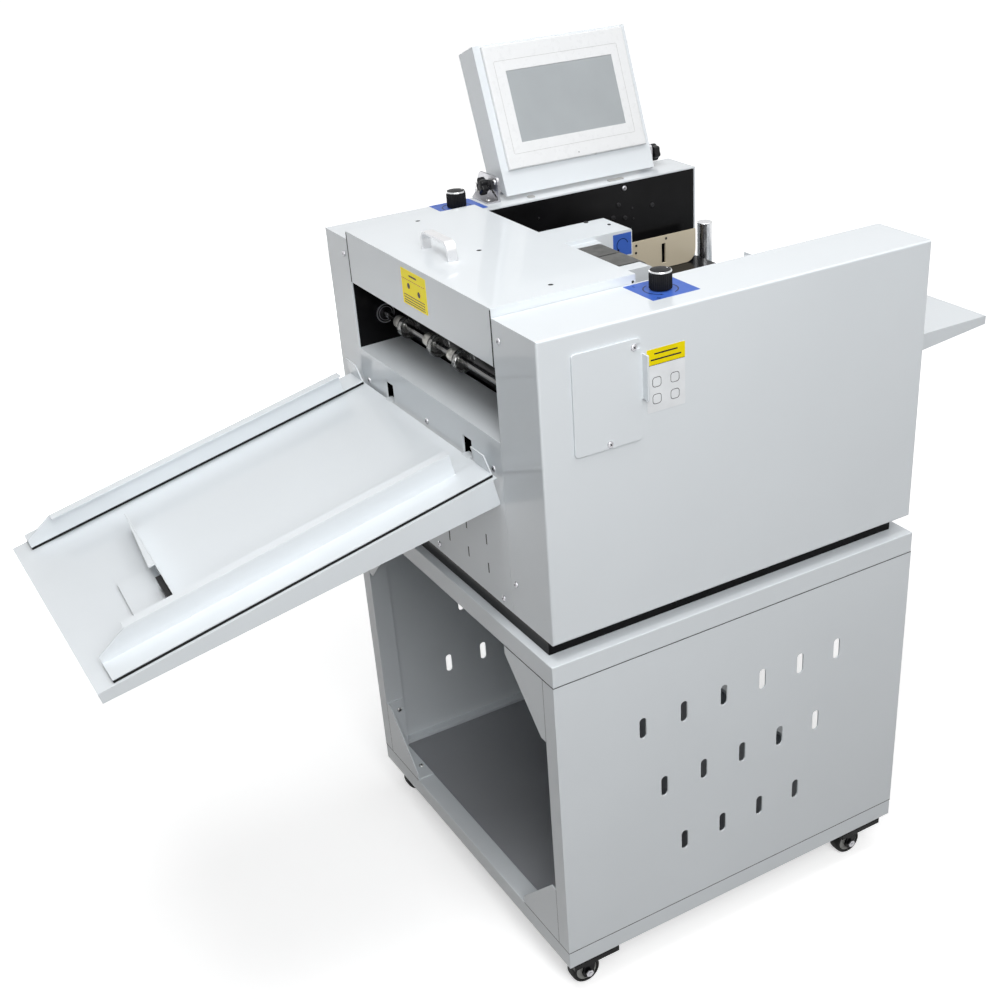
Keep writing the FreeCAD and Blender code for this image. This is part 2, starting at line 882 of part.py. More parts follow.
def delivery_shaft():
    """Delivery shaft with a knurled sleeve and a bright collar at each wheel."""
    pieces = [rod_x(frame_far_out_x, frame_near_out_x, delivery_y, delivery_z, delivery_shaft_radius)]
    for x in delivery_wheel_places:
        collar_x0 = x - collar_length
        pieces.append(rod_x(collar_x0, x, delivery_y, delivery_z, collar_radius))
        pieces.append(rod_x(collar_x0 - sleeve_length, collar_x0, delivery_y, delivery_z, sleeve_radius))
    return join(pieces)


def delivery_wheels():
    wheels = []
    for x in delivery_wheel_places:
        disc = rod_x(x, x + delivery_wheel_width, delivery_y, delivery_z, delivery_wheel_radius)
        bore = rod_x(x, x + delivery_wheel_width, delivery_y, delivery_z, delivery_shaft_radius)
        wheels.append(disc.cut(bore))
    return group(wheels)


def cutting_cylinder(z, end_x):
    """A ground cylinder with a journal at each end, the near one long enough for its gear."""
    half = paper_gap / 2 - die_end_gap
    journal = rod_x(frame_far_out_x, end_x, die_y, z, die_journal_radius)
    return join([journal, rod_x(-half, half, die_y, z, die_radius)])


def gear(z, turn):
    """A spur gear with straight-sided teeth, turned by a share of one tooth."""
    pitch_radius = (die_z - anvil_z) / 2
    module = 2 * pitch_radius / gear_teeth
    step = 2 * math.pi / gear_teeth
    tip = pitch_radius + gear_addendum * module
    root = pitch_radius - gear_dedendum * module
    rising = [(root, -gear_root_share), (tip, -gear_tip_share)]
    falling = [(tip, gear_tip_share), (root, gear_root_share)]
    outline = []
    for tooth in range(gear_teeth):
        for radius, share in rising + falling:
            angle = (tooth + turn + share / 2) * step
            outline.append((die_y + radius * math.cos(angle), z + radius * math.sin(angle)))
    blank = prism_x(outline, gear_x0, gear_x1)
    return blank.cut(rod_x(gear_x0, gear_x1, die_y, z, die_journal_radius))


def drive_motor():
    """Motor on a plate, held off the near frame by four posts, around the anvil's journal."""
    plate_x1 = motor_x0 + motor_plate
    half = motor_plate_half
    plate = block(motor_x0, plate_x1, die_y - half, die_y + half, anvil_z - half, anvil_z + half)
    body = rod_x(motor_x0, plate_x1 + motor_length, die_y, anvil_z, motor_radius)
    pieces = [plate, body]
    for side_y in (-1, 1):
        for side_z in (-1, 1):
            y = die_y + side_y * motor_post_offset
            z = anvil_z + side_z * motor_post_offset
            pieces.append(rod_x(frame_near_out_x, motor_x0, y, z, motor_post_radius))
    bore = rod_x(motor_x0, motor_x0 + motor_bore_depth, die_y, anvil_z, die_journal_radius + running_gap)
    return join(pieces).cut(bore)


def feed_loop(radius, x0, x1):
    """A solid as wide as given, with the outline of a belt around both feed drums."""
    ends = [rod_x(x0, x1, y, feed_drum_z, radius) for y in (feed_drum_front_y, feed_drum_rear_y)]
    z0 = feed_drum_z - radius
    middle = block(x0, x1, feed_drum_front_y, feed_drum_rear_y, z0, feed_drum_z + radius)
    return join([middle] + ends)


def feed_belts():
    middle = (feed_belt_far_x + feed_belt_near_x) / 2
    half_slot = feed_belt_slot / 2
    belts = []
    for x0, x1 in ((feed_belt_far_x, middle - half_slot), (middle + half_slot, feed_belt_near_x)):
        outer = feed_loop(feed_belt_radius, x0, x1)
        belts.append(outer.cut(feed_loop(feed_belt_radius - feed_belt_thickness, x0, x1)))
    return group(belts)


def feed_drum(y):
    drum_x0 = feed_belt_far_x - feed_drum_end_gap
    drum_x1 = feed_belt_near_x + feed_drum_end_gap
    drum = rod_x(drum_x0, drum_x1, y, feed_drum_z, feed_drum_radius)
    shaft = rod_x(head_far_x1 - head_wall, head_near_x1 - head_wall, y, feed_drum_z, feed_shaft_radius)
    return join([drum, shaft])


def feed_head_housing():
    """Far motor case, a cheek each side of the belts, and a bridge on a bar between the frames."""
    bottom_z = head_bottom_z
    far_top_z = feed_belt_top_z + head_far_rise
    near_top_z = feed_belt_top_z

    def rounded_block(x0, x1, rear_y, top_z, corner):
        solid = block(x0, x1, head_front_y, rear_y, bottom_z, top_z)

        def at_rear_top(point):
            return point.y > rear_y - seam and point.z > top_z - seam

        return round_edges(solid, corner, at_rear_top)

    case = rounded_block(head_far_x0, head_far_x1, head_far_rear_y, far_top_z, head_case_corner)
    cheek = rounded_block(head_near_x0, head_near_x1, head_near_rear_y, near_top_z, head_cheek_corner)
    inner_x = feed_belt_far_x - head_near_gap
    inner_cheek = block(head_far_x1, inner_x, head_front_y, head_near_rear_y, bottom_z, near_top_z)
    bridge_y1 = head_front_y + head_bridge_depth
    bridge_z0 = feed_belt_top_z - head_bridge_drop
    bridge = block(head_far_x0, head_near_x1, head_front_y, bridge_y1, bridge_z0, near_top_z)
    bar_y = (head_front_y + bridge_y1) / 2
    bar_z = (bridge_z0 + near_top_z) / 2
    half = head_bar / 2
    bar = block(gap_far_x, gap_near_x, bar_y - half, bar_y + half, bar_z - half, bar_z + half)
    wall = head_wall
    hollow_x = head_far_x1 - wall
    hollow_y = head_far_rear_y - wall
    hollow = block(head_far_x0 + wall, hollow_x, bridge_y1, hollow_y, bottom_z, far_top_z - wall)
    bores = []
    for y in (feed_drum_front_y, feed_drum_rear_y):
        bore_x1 = head_near_x1 - wall
        bores.append(rod_x(head_far_x1 - wall, bore_x1, y, feed_drum_z, feed_shaft_radius + running_gap))
    return cut(join([case, inner_cheek, cheek, bridge, bar]), [hollow] + bores)


def feed_table():
    """Black table between the frames, with side flanges and a rear lip folded down."""
    x0 = gap_far_x + seam
    x1 = gap_near_x - seam
    thick = feed_table_thickness
    low_z = feed_table_z - feed_table_flange
    plate = block(x0, x1, feed_table_front_y, feed_table_rear_y, feed_table_z - thick, feed_table_z)
    lip = block(x0, x1, feed_table_rear_y - thick, feed_table_rear_y, low_z, feed_table_z)
    near = block(x1 - thick, x1, feed_table_front_y, feed_table_rear_y, low_z, feed_table_z)
    far = block(x0, x0 + thick, feed_table_front_y, feed_table_rear_y, low_z, feed_table_z)
    return join([plate, lip, near, far])


def side_guide(face_x, outward):
    """Upright sheet guide on the feed table, with a foot turned outwards."""
    outer_x = face_x + outward * side_guide_thickness
    z0 = feed_table_z + slide_gap
    plate = block(face_x, outer_x, side_guide_front_y, side_guide_rear_y, z0, z0 + side_guide_height)

    def rear_low(point):
        return point.y > side_guide_rear_y - seam and point.z < z0 + seam

    plate = round_edges(plate, side_guide_corner, rear_low)
    foot_x = face_x + outward * side_guide_foot
    foot_y1 = side_guide_front_y + side_guide_foot_length
    foot = block(face_x, foot_x, side_guide_front_y, foot_y1, z0, z0 + side_guide_thickness)
    slot_z0 = z0 + side_guide_thickness + guide_slot_rise
    slot_y0 = guide_slot_y - guide_slot_width / 2
    slot_y1 = slot_y0 + guide_slot_width
    slot = block(face_x, outer_x, slot_y0, slot_y1, slot_z0, slot_z0 + guide_slot_height)
    return join([plate, foot]).cut(slot)


def infeed_table():
    """Level table behind the machine; its tongue lies on the rear panel's upper flange."""
    sheet = tray_sheet
    z0 = infeed_z - sheet
    inset = infeed_tongue_inset
    plate = block(tray_far_x, tray_near_x, infeed_front_y, infeed_rear_y, z0, infeed_z)
    tongue_y = body_depth - infeed_tongue
    tongue = block(gap_far_x + inset, tray_near_x - inset, tongue_y, infeed_front_y, z0, infeed_z)
    end_z = infeed_z - infeed_flange_rear
    end = block(tray_far_x, tray_near_x, infeed_rear_y - sheet, infeed_rear_y, end_z, infeed_z)
    flange = [
        (infeed_front_y, infeed_z),
        (infeed_front_y, infeed_z - infeed_flange_front),
        (infeed_rear_y, infeed_z - infeed_flange_rear),
        (infeed_rear_y, infeed_z),
    ]
    near = prism_x(flange, tray_near_x - sheet, tray_near_x)
    far = prism_x(flange, tray_far_x, tray_far_x + sheet)
    return join([plate, tongue, end, near, far])


def guide_post():
    z0 = infeed_z + slide_gap
    post = rod_z(z0, z0 + post_height, post_x, post_y, post_radius)
    return round_edges(post, post_edge_radius, lambda point: point.z > z0 + post_height / 2)


def back_stop():
    """Angle plate that stands on the infeed table across the sheet."""
    sheet = tray_sheet
    x1 = back_stop_far_x + back_stop_length
    z0 = infeed_z + slide_gap
    upright = block(back_stop_far_x, x1, back_stop_y, back_stop_y + sheet, z0, z0 + back_stop_height)
    foot = block(back_stop_far_x, x1, back_stop_y, back_stop_y + back_stop_foot, z0, z0 + sheet)
    return join([upright, foot])


def on_tray(shape):
    """Moves a shape drawn flat, with the tray's rear edge on the X axis, onto the sloping tray."""
    placed = shape.copy()
    placed.rotate(ORIGIN, X_AXIS, tray_slope)
    placed.translate(Vector(0, tray_rear_y, tray_rear_z))
    return placed


def delivery_tray():
    """Sloping sheet tray with tapered side flanges, an end lip and two hooks."""
    sheet = tray_sheet
    plate = block(tray_far_x, tray_near_x, -tray_length, 0, -sheet, 0)
    lip = block(tray_far_x, tray_near_x, -tray_length, -tray_length + sheet, -tray_flange_front, 0)
    flange = [
        (-tray_flange_setback, 0),
        (-tray_flange_setback, -tray_flange_rear),
        (-tray_length, -tray_flange_front),
        (-tray_length, 0),
    ]
    near = prism_x(flange, tray_near_x - sheet, tray_near_x)
    far = prism_x(flange, tray_far_x, tray_far_x + sheet)
    pieces = [on_tray(join([plate, lip, near, far]))]
    tip_y = tray_rear_y + hook_reach
    half = hook_width / 2
    root_y = tray_rear_y - sheet
    tab_z = tray_rear_z - sheet
    for x in (hook_near_x, hook_far_x):
        x0 = x - half
        x1 = x + half
        pieces.append(block(x0, x1, root_y, tip_y, tab_z, tray_rear_z))
        pieces.append(block(x0, x1, tip_y - sheet, tip_y, tab_z - hook_leg_drop, tray_rear_z))
    return join(pieces)


def tray_guide(wall_x, outward, ear_outline):
    """Magnetic side guide: foot, upright wall with an inward lip, and an ear at the machine end."""
    sheet = tray_sheet
    foot_h = guide_foot_h
    top_h = foot_h + guide_wall_height
    outer_x = wall_x + outward * sheet
    foot_x = wall_x + outward * guide_foot_width
    foot = block(wall_x, foot_x, -guide_end, -guide_start, foot_h, foot_h + sheet)
    wall_outline = [
        (-guide_wall_start, foot_h),
        (-guide_end, foot_h),
        (-guide_end, foot_h + guide_end_height),
        (-guide_chamfer_start, top_h),
        (-guide_wall_start, top_h),
    ]
    wall = prism_x(wall_outline, wall_x, outer_x)
    lip_x = wall_x - outward * guide_lip
    lip = block(lip_x, outer_x, -guide_chamfer_start, -guide_wall_start, top_h - sheet, top_h)
    ear = prism_y(ear_outline, -guide_start - sheet, -guide_start)
    return on_tray(join([foot, wall, lip, ear]))


def ear_outline(low_x, high_x):
    """An ear whose edge towards +X leans in."""
    h0 = guide_foot_h
    h1 = h0 + ear_height
    return [(low_x, h0), (high_x, h0), (high_x - ear_taper, h1), (low_x, h1)]


def tray_guide_near():
    outline = ear_outline(guide_near_x, guide_near_x + guide_foot_width)
    return tray_guide(guide_near_x, 1, outline)


def tray_guide_far():
    outline = ear_outline(guide_far_x - guide_foot_width, guide_far_x)
    return tray_guide(guide_far_x, -1, outline)


def guide_magnet(wall_x, outward):
    edge_x = wall_x + outward * guide_foot_width
    return on_tray(block(wall_x, edge_x, -guide_end, -guide_start, slide_gap, guide_foot_h))


def paper_stop():
    """Upright plate with a foot on a magnet pad, a tapered top lip and a magnet block behind it."""
    sheet = tray_sheet
    x0 = stop_far_x
    x1 = stop_far_x + stop_length
    foot_x0 = x1 - stop_foot_length
    foot_h = slide_gap + stop_pad
    plate = block(x0, x1, 0, sheet, slide_gap, slide_gap + stop_height)
    foot = block(foot_x0, x1, -stop_foot_depth, sheet, foot_h, foot_h + sheet)
    lip_h = slide_gap + stop_height
    lip_x = x0 + stop_lip_length
    lip = prism_z([(x0, 0), (lip_x, 0), (lip_x, -stop_lip)], lip_h - sheet, lip_h)
    pad = block(foot_x0, x1, -stop_foot_depth, -slide_gap, slide_gap, foot_h)
    block_h = foot_h + sheet
    block_x = x1 - stop_block_length
    magnet = block(block_x, x1, -stop_block_depth, 0, block_h, block_h + stop_block_height)
    whole = group([join([plate, foot, lip]), pad, magnet])
    whole.rotate(Vector((x0 + x1) / 2, 0, 0), Z_AXIS, -stop_skew)
    whole.translate(Vector(0, -stop_place, 0))
    return on_tray(whole)


def on_screen(shape):
    """Leans a shape drawn upright, facing +X over the bezel's lower edge, into its place."""
    placed = shape.copy()
    placed.rotate(ORIGIN, Y_AXIS, -screen_lean)
    placed.translate(Vector(screen_bottom_x, 0, screen_bottom_z))
    return placed


def screen_housing():
    """Folded box, bevelled below at the back, open at the front behind the bezel."""
    wall = box_wall
    outline = [
        (0, -box_below),
        (0, box_above),
        (-box_depth, box_above),
        (-box_depth, box_bevel - box_below),
        (-wall, -box_below),
    ]
    outer = prism_y(outline, box_front_y, box_rear_y)
    y0 = bezel_front_y + wall
    y1 = bezel_front_y + bezel_width - wall
    hollow = block(-box_depth + wall, 0, y0, y1, box_wall, bezel_length - wall)
    pin = rod_y(box_front_y, box_rear_y, tilt_x, tilt_z, tilt_pin_radius + running_gap)
    return on_screen(outer.cut(hollow)).cut(pin)


def screen_bezel():
    rear_y = bezel_front_y + bezel_width
    frame = block(0, bezel_proud, bezel_front_y, rear_y, 0, bezel_length)
    frame = round_edges(frame, bezel_edge_radius, lambda point: point.x > bezel_proud - seam)
    glass_y0 = bezel_front_y + glass_offset_y
    window = block(
        0, bezel_proud, glass_y0, glass_y0 + glass_width, glass_offset_up, glass_offset_up + glass_length
    )
    return on_screen(frame.cut(window))


def screen_glass():
    y0 = bezel_front_y + glass_offset_y
    x1 = bezel_proud - glass_sink
    z0 = glass_offset_up
    pane = block(x1 - glass_thickness, x1, y0, y0 + glass_width, z0, z0 + glass_length)
    return on_screen(pane)


def screen_bracket():
    """Flared front ear with its foot, a plain rear ear, and the tie between them on the far cover."""
    front_y0 = box_front_y - ear_plate_gap - ear_plate
    front_y1 = front_y0 + ear_plate
    rear_y0 = box_rear_y + ear_plate_gap
    rear_y1 = rear_y0 + ear_plate
    plate_z = cover_top_z + bracket_plate
    ear_z = cover_top_z + ear_plate_height
    tie_x0 = far_out_x + bracket_edge
    top_x = ear_near_x - ear_top_length
    flare_x = ear_near_x - ear_foot_length

    def upright_corner(y):
        return lambda point: point.z > ear_z - seam and abs(point.y - y) < seam

    outline = ((ear_near_x, cover_top_z), (ear_near_x, ear_z), (top_x, ear_z), (flare_x, cover_top_z))
    front_ear = round_edges(prism_y(outline, front_y0, front_y1), ear_plate_corner,
                            upright_corner((front_y0 + front_y1) / 2))
    rear_ear = round_edges(block(tie_x0, tie_x0 + ear_rear_length, rear_y0, rear_y1, cover_top_z, ear_z),
                           ear_plate_corner, upright_corner((rear_y0 + rear_y1) / 2))
    foot_y = front_y0 - bracket_foot_depth
    foot = ((ear_near_x, front_y1), (ear_near_x, foot_y), (tie_x0, foot_y), (flare_x, front_y1))
    tie = block(tie_x0, tie_x0 + bracket_tie, front_y0, rear_y1, cover_top_z, plate_z)
    pin = rod_y(front_y0, rear_y1, tilt_x, tilt_z, tilt_pin_radius + running_gap)
    return join([front_ear, rear_ear, prism_z(foot, cover_top_z, plate_z), tie]).cut(pin)


def clamp_knobs():
    """Through-bolt of the screen's tilt, with a lobed knob at each end."""
    front_y = box_front_y - ear_plate_gap - ear_plate - star_knob_gap
    rear_y = box_rear_y + ear_plate_gap + ear_plate + star_knob_gap
    pieces = [rod_y(front_y, rear_y, tilt_x, tilt_z, tilt_pin_radius)]
    for y0, y1 in ((front_y - star_knob_length, front_y), (rear_y, rear_y + star_knob_length)):
        pieces.append(rod_y(y0, y1, tilt_x, tilt_z, star_knob_radius - star_lobe_radius / 2))
        for lobe in range(star_lobes):
            angle = 2 * math.pi * lobe / star_lobes
            reach = star_knob_radius - star_lobe_radius
            x = tilt_x + reach * math.cos(angle)
            z = tilt_z + reach * math.sin(angle)
            pieces.append(rod_y(y0, y1, x, z, star_lobe_radius))
    return join(pieces)


def pressure_knob(x, y):
    foot_z = cover_top_z + knob_lift
    grip = rod_z(foot_z, foot_z + knob_height, x, y, knob_radius)
    grip = round_edges(grip, knob_edge_radius, lambda point: point.z > foot_z + knob_height / 2)
    stem = rod_z(cover_top_z - knob_boss_length, foot_z, x, y, knob_stem_radius)
    return join([grip, stem])


def power_inlet():
    """Panel inlet with its socket and three blades, and a frame for the rocker switch above."""
    half_x = inlet_width / 2
    half_z = inlet_length / 2
    edge = inlet_flange
    front_y = body_depth + inlet_flange_thickness
    flange_x = half_x + edge
    flange_z = half_z + edge
    flange = plate_y(inlet_x, inlet_z, flange_x, flange_z, body_depth, front_y)
    back_y = body_depth - inlet_body_depth
    body = plate_y(inlet_x, inlet_z, half_x, half_z, back_y, body_depth)
    socket_y = front_y - socket_depth
    side = socket_width / 2
    rise = socket_length / 2
    socket = plate_y(inlet_x, socket_z, side, rise, socket_y, front_y)
    room_x = rocker_width / 2 + seam
    room_z = rocker_length / 2 + rocker_room
    well = plate_y(inlet_x, rocker_z, room_x, room_z, back_y + head_wall, front_y)
    pin_x = rocker_width / 2 + seam + rocker_room
    pin = rod_x(inlet_x - pin_x, inlet_x + pin_x, rocker_y, rocker_z, rocker_pin_radius + running_gap)
    blades = []
    half_w = blade_width / 2
    half_t = blade_thickness / 2
    for step in (-1, 0, 1):
        z = socket_z + step * blade_pitch
        blade_y = socket_y + blade_length
        blades.append(plate_y(inlet_x, z, half_w, half_t, socket_y, blade_y))
    return join([cut(join([flange, body]), [socket, well, pin])] + blades)


def power_switch():
    """Rocker with a shallow V front, on a cross pin."""
    half = rocker_length / 2
    crown = rocker_pivot_depth + inlet_flange_thickness
    outline = [
        (rocker_y - rocker_pivot_depth, rocker_z - half / 2),
        (rocker_y + rocker_shoulder, rocker_z - half),
        (rocker_y + crown, rocker_z - half),
        (rocker_y + crown - rocker_dish, rocker_z),
        (rocker_y + crown, rocker_z + half),
        (rocker_y + rocker_shoulder, rocker_z + half),
        (rocker_y - rocker_pivot_depth, rocker_z + half / 2),
    ]
    body = prism_x(outline, inlet_x - rocker_width / 2, inlet_x + rocker_width / 2)
    pin_x = rocker_width / 2 + rocker_room
    return join([body, rod_x(inlet_x - pin_x, inlet_x + pin_x, rocker_y, rocker_z, rocker_pin_radius)])


def build_pieces():
    """Every named piece, in the layout's own place."""
    pieces = {
        "cabinet_base": cabinet_pan(base_z, panel_z, panel_z, -1),
        "cabinet_floor": cabinet_floor(),
        "cabinet_side_near": cabinet_side(cabinet_x1, -1, False),
        "cabinet_side_far": cabinet_side(cabinet_x0, 1, True),
        "cabinet_top": cabinet_pan(top_pan_z, plinth_z, top_pan_z, 1),
        "cabinet_stiffeners": cabinet_stiffeners(),
        "caster_plates": caster_plates(),
        "plinth": plinth(),
        "side_frame_near": side_frame(gap_near_x, frame_near_out_x),
        "side_frame_far": side_frame(frame_far_out_x, gap_far_x),
        "shaft_bearings": shaft_bearings(),
        "near_cover": near_cover(),
        "far_cover": far_cover(),
        "front_panel": front_panel(),
        "rear_panel": rear_panel(),
        "top_cover": top_cover(),
        "top_handle": top_handle(),
        "access_door": access_door(),
        "cover_screws": cover_screws(),
        "delivery_shaft": delivery_shaft(),
        "delivery_wheels": delivery_wheels(),
        "die_cylinder": cutting_cylinder(die_z, gear_x1),
        "anvil_cylinder": cutting_cylinder(anvil_z, motor_x0 + motor_bore_depth - seam),
        "die_gear": gear(die_z, 0.5),
        "anvil_gear": gear(anvil_z, 0),
        "drive_motor": drive_motor(),
        "feed_head_housing": feed_head_housing(),
        "feed_drum_front": feed_drum(feed_drum_front_y),
        "feed_drum_rear": feed_drum(feed_drum_rear_y),
        "feed_belts": feed_belts(),
        "feed_table": feed_table(),
        "side_guide_near": side_guide(side_guide_offset, 1),
        "side_guide_far": side_guide(-side_guide_offset, -1),
        "guide_post": guide_post(),
        "infeed_table": infeed_table(),
        "back_stop": back_stop(),
        "delivery_tray": delivery_tray(),
        "tray_guide_near": tray_guide_near(),
        "tray_guide_far": tray_guide_far(),
        "guide_magnet_near": guide_magnet(guide_near_x, 1),
        "guide_magnet_far": guide_magnet(guide_far_x, -1),
        "paper_stop": paper_stop(),
        "screen_bracket": screen_bracket(),
        "screen_housing": screen_housing(),
        "screen_bezel": screen_bezel(),
        "screen_glass": screen_glass(),
        "clamp_knobs": clamp_knobs(),
        "pressure_knob_near": pressure_knob(knob_near_x, knob_near_y),
        "pressure_knob_far": pressure_knob(knob_far_x, knob_far_y),
        "power_inlet": power_inlet(),
        "power_switch": power_switch(),
    }
    for name, x, y in caster_places():
        pieces["caster_fork_" + name] = caster_fork(x, y)
        pieces["caster_wheel_" + name] = caster_wheel(x, y)
    return pieces


def origin_shift(pieces):
    """Moves the middle of the whole machine's footprint to the origin."""
    box = group(list(pieces.values())).optimalBoundingBox()
    return Vector(-box.Center.x, -box.Center.y, -box.ZMin)


def main():
    os.makedirs("parts", exist_ok=True)
    pieces = build_pieces()
    shift = origin_shift(pieces)
    for name, shape in pieces.items():
        placed = shape.copy()
        placed.translate(shift)
        placed.exportStep("parts/" + name + ".step")


main()
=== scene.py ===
"""Finishes and small parts of a sheet-fed rotary die cutting machine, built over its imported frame."""

import json
import math

import bmesh
import bpy
from bpy.props import FloatProperty, FloatVectorProperty, IntProperty, PointerProperty
from mathutils import Matrix, Vector


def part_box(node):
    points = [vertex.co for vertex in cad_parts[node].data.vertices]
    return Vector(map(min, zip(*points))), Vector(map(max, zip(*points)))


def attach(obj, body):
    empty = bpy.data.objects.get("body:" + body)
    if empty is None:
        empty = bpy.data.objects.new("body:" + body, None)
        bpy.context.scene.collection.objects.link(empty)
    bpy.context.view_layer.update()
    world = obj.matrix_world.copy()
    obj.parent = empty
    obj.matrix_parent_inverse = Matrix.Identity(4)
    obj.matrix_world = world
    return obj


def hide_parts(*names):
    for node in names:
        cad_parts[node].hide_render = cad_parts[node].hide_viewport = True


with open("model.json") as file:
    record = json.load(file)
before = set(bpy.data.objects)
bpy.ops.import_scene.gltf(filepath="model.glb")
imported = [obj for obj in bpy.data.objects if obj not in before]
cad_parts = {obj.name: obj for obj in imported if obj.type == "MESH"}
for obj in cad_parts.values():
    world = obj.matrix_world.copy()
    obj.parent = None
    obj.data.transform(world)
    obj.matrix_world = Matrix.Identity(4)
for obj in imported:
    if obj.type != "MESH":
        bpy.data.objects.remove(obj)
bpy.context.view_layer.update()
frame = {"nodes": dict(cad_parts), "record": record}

bl_info = {
    "name": "Die cutting machine",
    "version": (1, 0, 0),
    "blender": (4, 5, 0),
    "location": "3D View > Sidebar > Machine",
    "description": "Finishes and small parts of a rotary die cutting machine",
    "category": "Object",
}

MM = 0.001
X_AXIS = Vector((1, 0, 0))
Y_AXIS = Vector((0, 1, 0))
Z_AXIS = Vector((0, 0, 1))


def box_of(node):
    """The low and the high corner of a node's box, in millimetres."""
    return [Vector(corner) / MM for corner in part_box(node)]


SHEET_X = (box_of("side_frame_near")[0][0] + box_of("side_frame_far")[1][0]) / 2
FRONT_Y = box_of("near_cover")[0][1]


def at(x, y, z):
    """A point in millimetres from the sheet's centreline, the body's front and the ground."""
    return Vector((SHEET_X + x, FRONT_Y + y, z))


def setting(kind, **limits):
    """Makes the function that states one kind of setting."""

    def state(name, description, value):
        return kind(name=name, description=description, default=value, **limits)

    return state


colour = setting(FloatVectorProperty, size=3, min=0.0, max=1.0, subtype="COLOR")
length = setting(FloatProperty, min=0.0, unit="LENGTH", precision=5)
share = setting(FloatProperty, min=0.0, max=1.0, subtype="FACTOR")
power = setting(FloatProperty, min=0.0, unit="POWER")
focal_length = setting(FloatProperty, min=1.0, unit="CAMERA")
count = setting(IntProperty, min=3)


class MachineFinishes(bpy.types.PropertyGroup):
    """Colours and gloss of the machine's finishes."""

    paint: colour("Paint", "Cool white powder paint on the sheet metal", (0.685, 0.722, 0.75))
    paint_roughness: share("Paint roughness", "Gloss of the white paint", 0.36)
    # The floor plate's darker grey is painted shade, standing in for the dim inside of the cabinet.
    floor_paint: colour("Floor paint", "Grey paint of the cabinet's floor plate", (0.3, 0.31, 0.33))
    black: colour("Black paint", "Side frames, plinth and feed table", (0.005, 0.005, 0.0055))
    beige: colour("Beige paint", "Paint of the two side guides", (0.60, 0.53, 0.40))
    steel: colour("Steel", "Bare steel of shafts, screws and bearings", (0.62, 0.62, 0.61))
    zinc: colour("Zinc plate", "Plating of the screen bracket and small fasteners", (0.45, 0.45, 0.47))
    chrome: colour("Chrome", "Guide post and the rings of the pressure knobs", (0.7, 0.71, 0.72))
    aluminium: colour("Aluminium", "Handle of the top cover", (0.8, 0.8, 0.81))
    oxide: colour("Black oxide", "Cylinders, bearings and black screws", (0.04, 0.04, 0.042))
    # The delivery shaft's steel is darkened as painted shade for the shadowed mouth it turns in.
    dark_steel: colour("Dark steel", "Oiled steel of the delivery shaft", (0.16, 0.16, 0.16))
    rubber: colour("Rubber", "Magnet strips and tyres", (0.012, 0.012, 0.012))
    belt: colour("Belt rubber", "Feed belts, greyed by paper dust", (0.085, 0.085, 0.081))
    sleeve: colour("Sleeve", "Knurled sleeves on the delivery shaft", (0.52, 0.51, 0.48))
    plastic_black: colour("Black plastic", "Knobs, switch and inlet", (0.008, 0.008, 0.009))
    plastic_white: colour("White plastic", "Screen bezel", (0.75, 0.76, 0.77))
    plastic_grey: colour("Grey plastic", "Caster hubs and cable clips", (0.36, 0.36, 0.35))
    plastic_clear: colour("Clear plastic", "Delivery wheels", (0.6, 0.6, 0.59))
    display: colour("Display", "Unlit screen behind its glass", (0.34, 0.365, 0.38))
    label_blue: colour("Blue label", "Labels under the two pressure knobs", (0.05, 0.125, 0.48))
    label_yellow: colour("Yellow label", "Label on the near side", (0.84, 0.68, 0.004))
    # The top cover's label glows faintly: painted light that lifts it above the light falling on it.
    glowing_yellow: colour("Bright yellow", "Fluorescent label on the top cover", (1.0, 0.8, 0.004))
    label_white: colour("White label", "Film of the label on the near side", (0.78, 0.8, 0.82))
    ink: colour("Ink", "Lines printed on the labels", (0.02, 0.02, 0.022))


class MachineSizes(bpy.types.PropertyGroup):
    """Sizes of the small parts that a maker would change."""

    cover_edge: length("Cover edge", "Rounding of the folded covers' edges", 1.2 * MM)
    sheet_edge: length("Sheet edge", "Rounding of cut sheet edges", 0.4 * MM)
    housing_edge: length("Housing edge", "Rounding of the screen housing's edges", 3.0 * MM)
    screw_radius: length("Screw head radius", "Radius of a cover screw's head", 3.6 * MM)
    screw_height: length("Screw head height", "Height of a cover screw's head", 1.6 * MM)
    knob_radius: length("Knob radius", "Outer radius of a pressure knob", 12.0 * MM)
    knob_height: length("Knob height", "Height of a pressure knob", 20.0 * MM)
    knob_flutes: count("Knob flutes", "Grooves round a pressure knob", 36)
    knurl_ridges: count("Knurl ridges", "Ridges round a knurled sleeve", 40)
    star_radius: length("Star knob radius", "Outer radius of a clamp knob", 11.0 * MM)
    star_lobes: count("Star knob lobes", "Lobes round a clamp knob", 6)
    wheel_radius: length("Wheel radius", "Radius of a delivery wheel", 13.0 * MM)
    wheel_width: length("Wheel width", "Width of a delivery wheel", 8.0 * MM)


class MachineStage(bpy.types.PropertyGroup):
    """Light, floor and camera."""

    ceiling_power: power("Ceiling light", "Power of the overhead lamp", 16.0)
    side_power: power("Side light", "Power of the near-side lamp", 44.0)
    front_power: power("Front light", "Power of the front lamp", 20.0)
    far_power: power("Far light", "Power of the far-side lamp", 22.0)
    back_power: power("Back light", "Power of the lamp behind", 18.0)
    room_light: share("Room light", "Light from the room overhead", 0.06)
    horizon_light: share("Horizon light", "Light from the room's walls", 0.04)
    floor_tone: share("Floor tone", "Paleness of the floor", 0.82)
    lens: focal_length("Lens", "Focal length of the camera", 50.525)


def size(name):
    """One of the sizes above, in millimetres."""
    return getattr(bpy.context.scene.machine_sizes, name) / MM


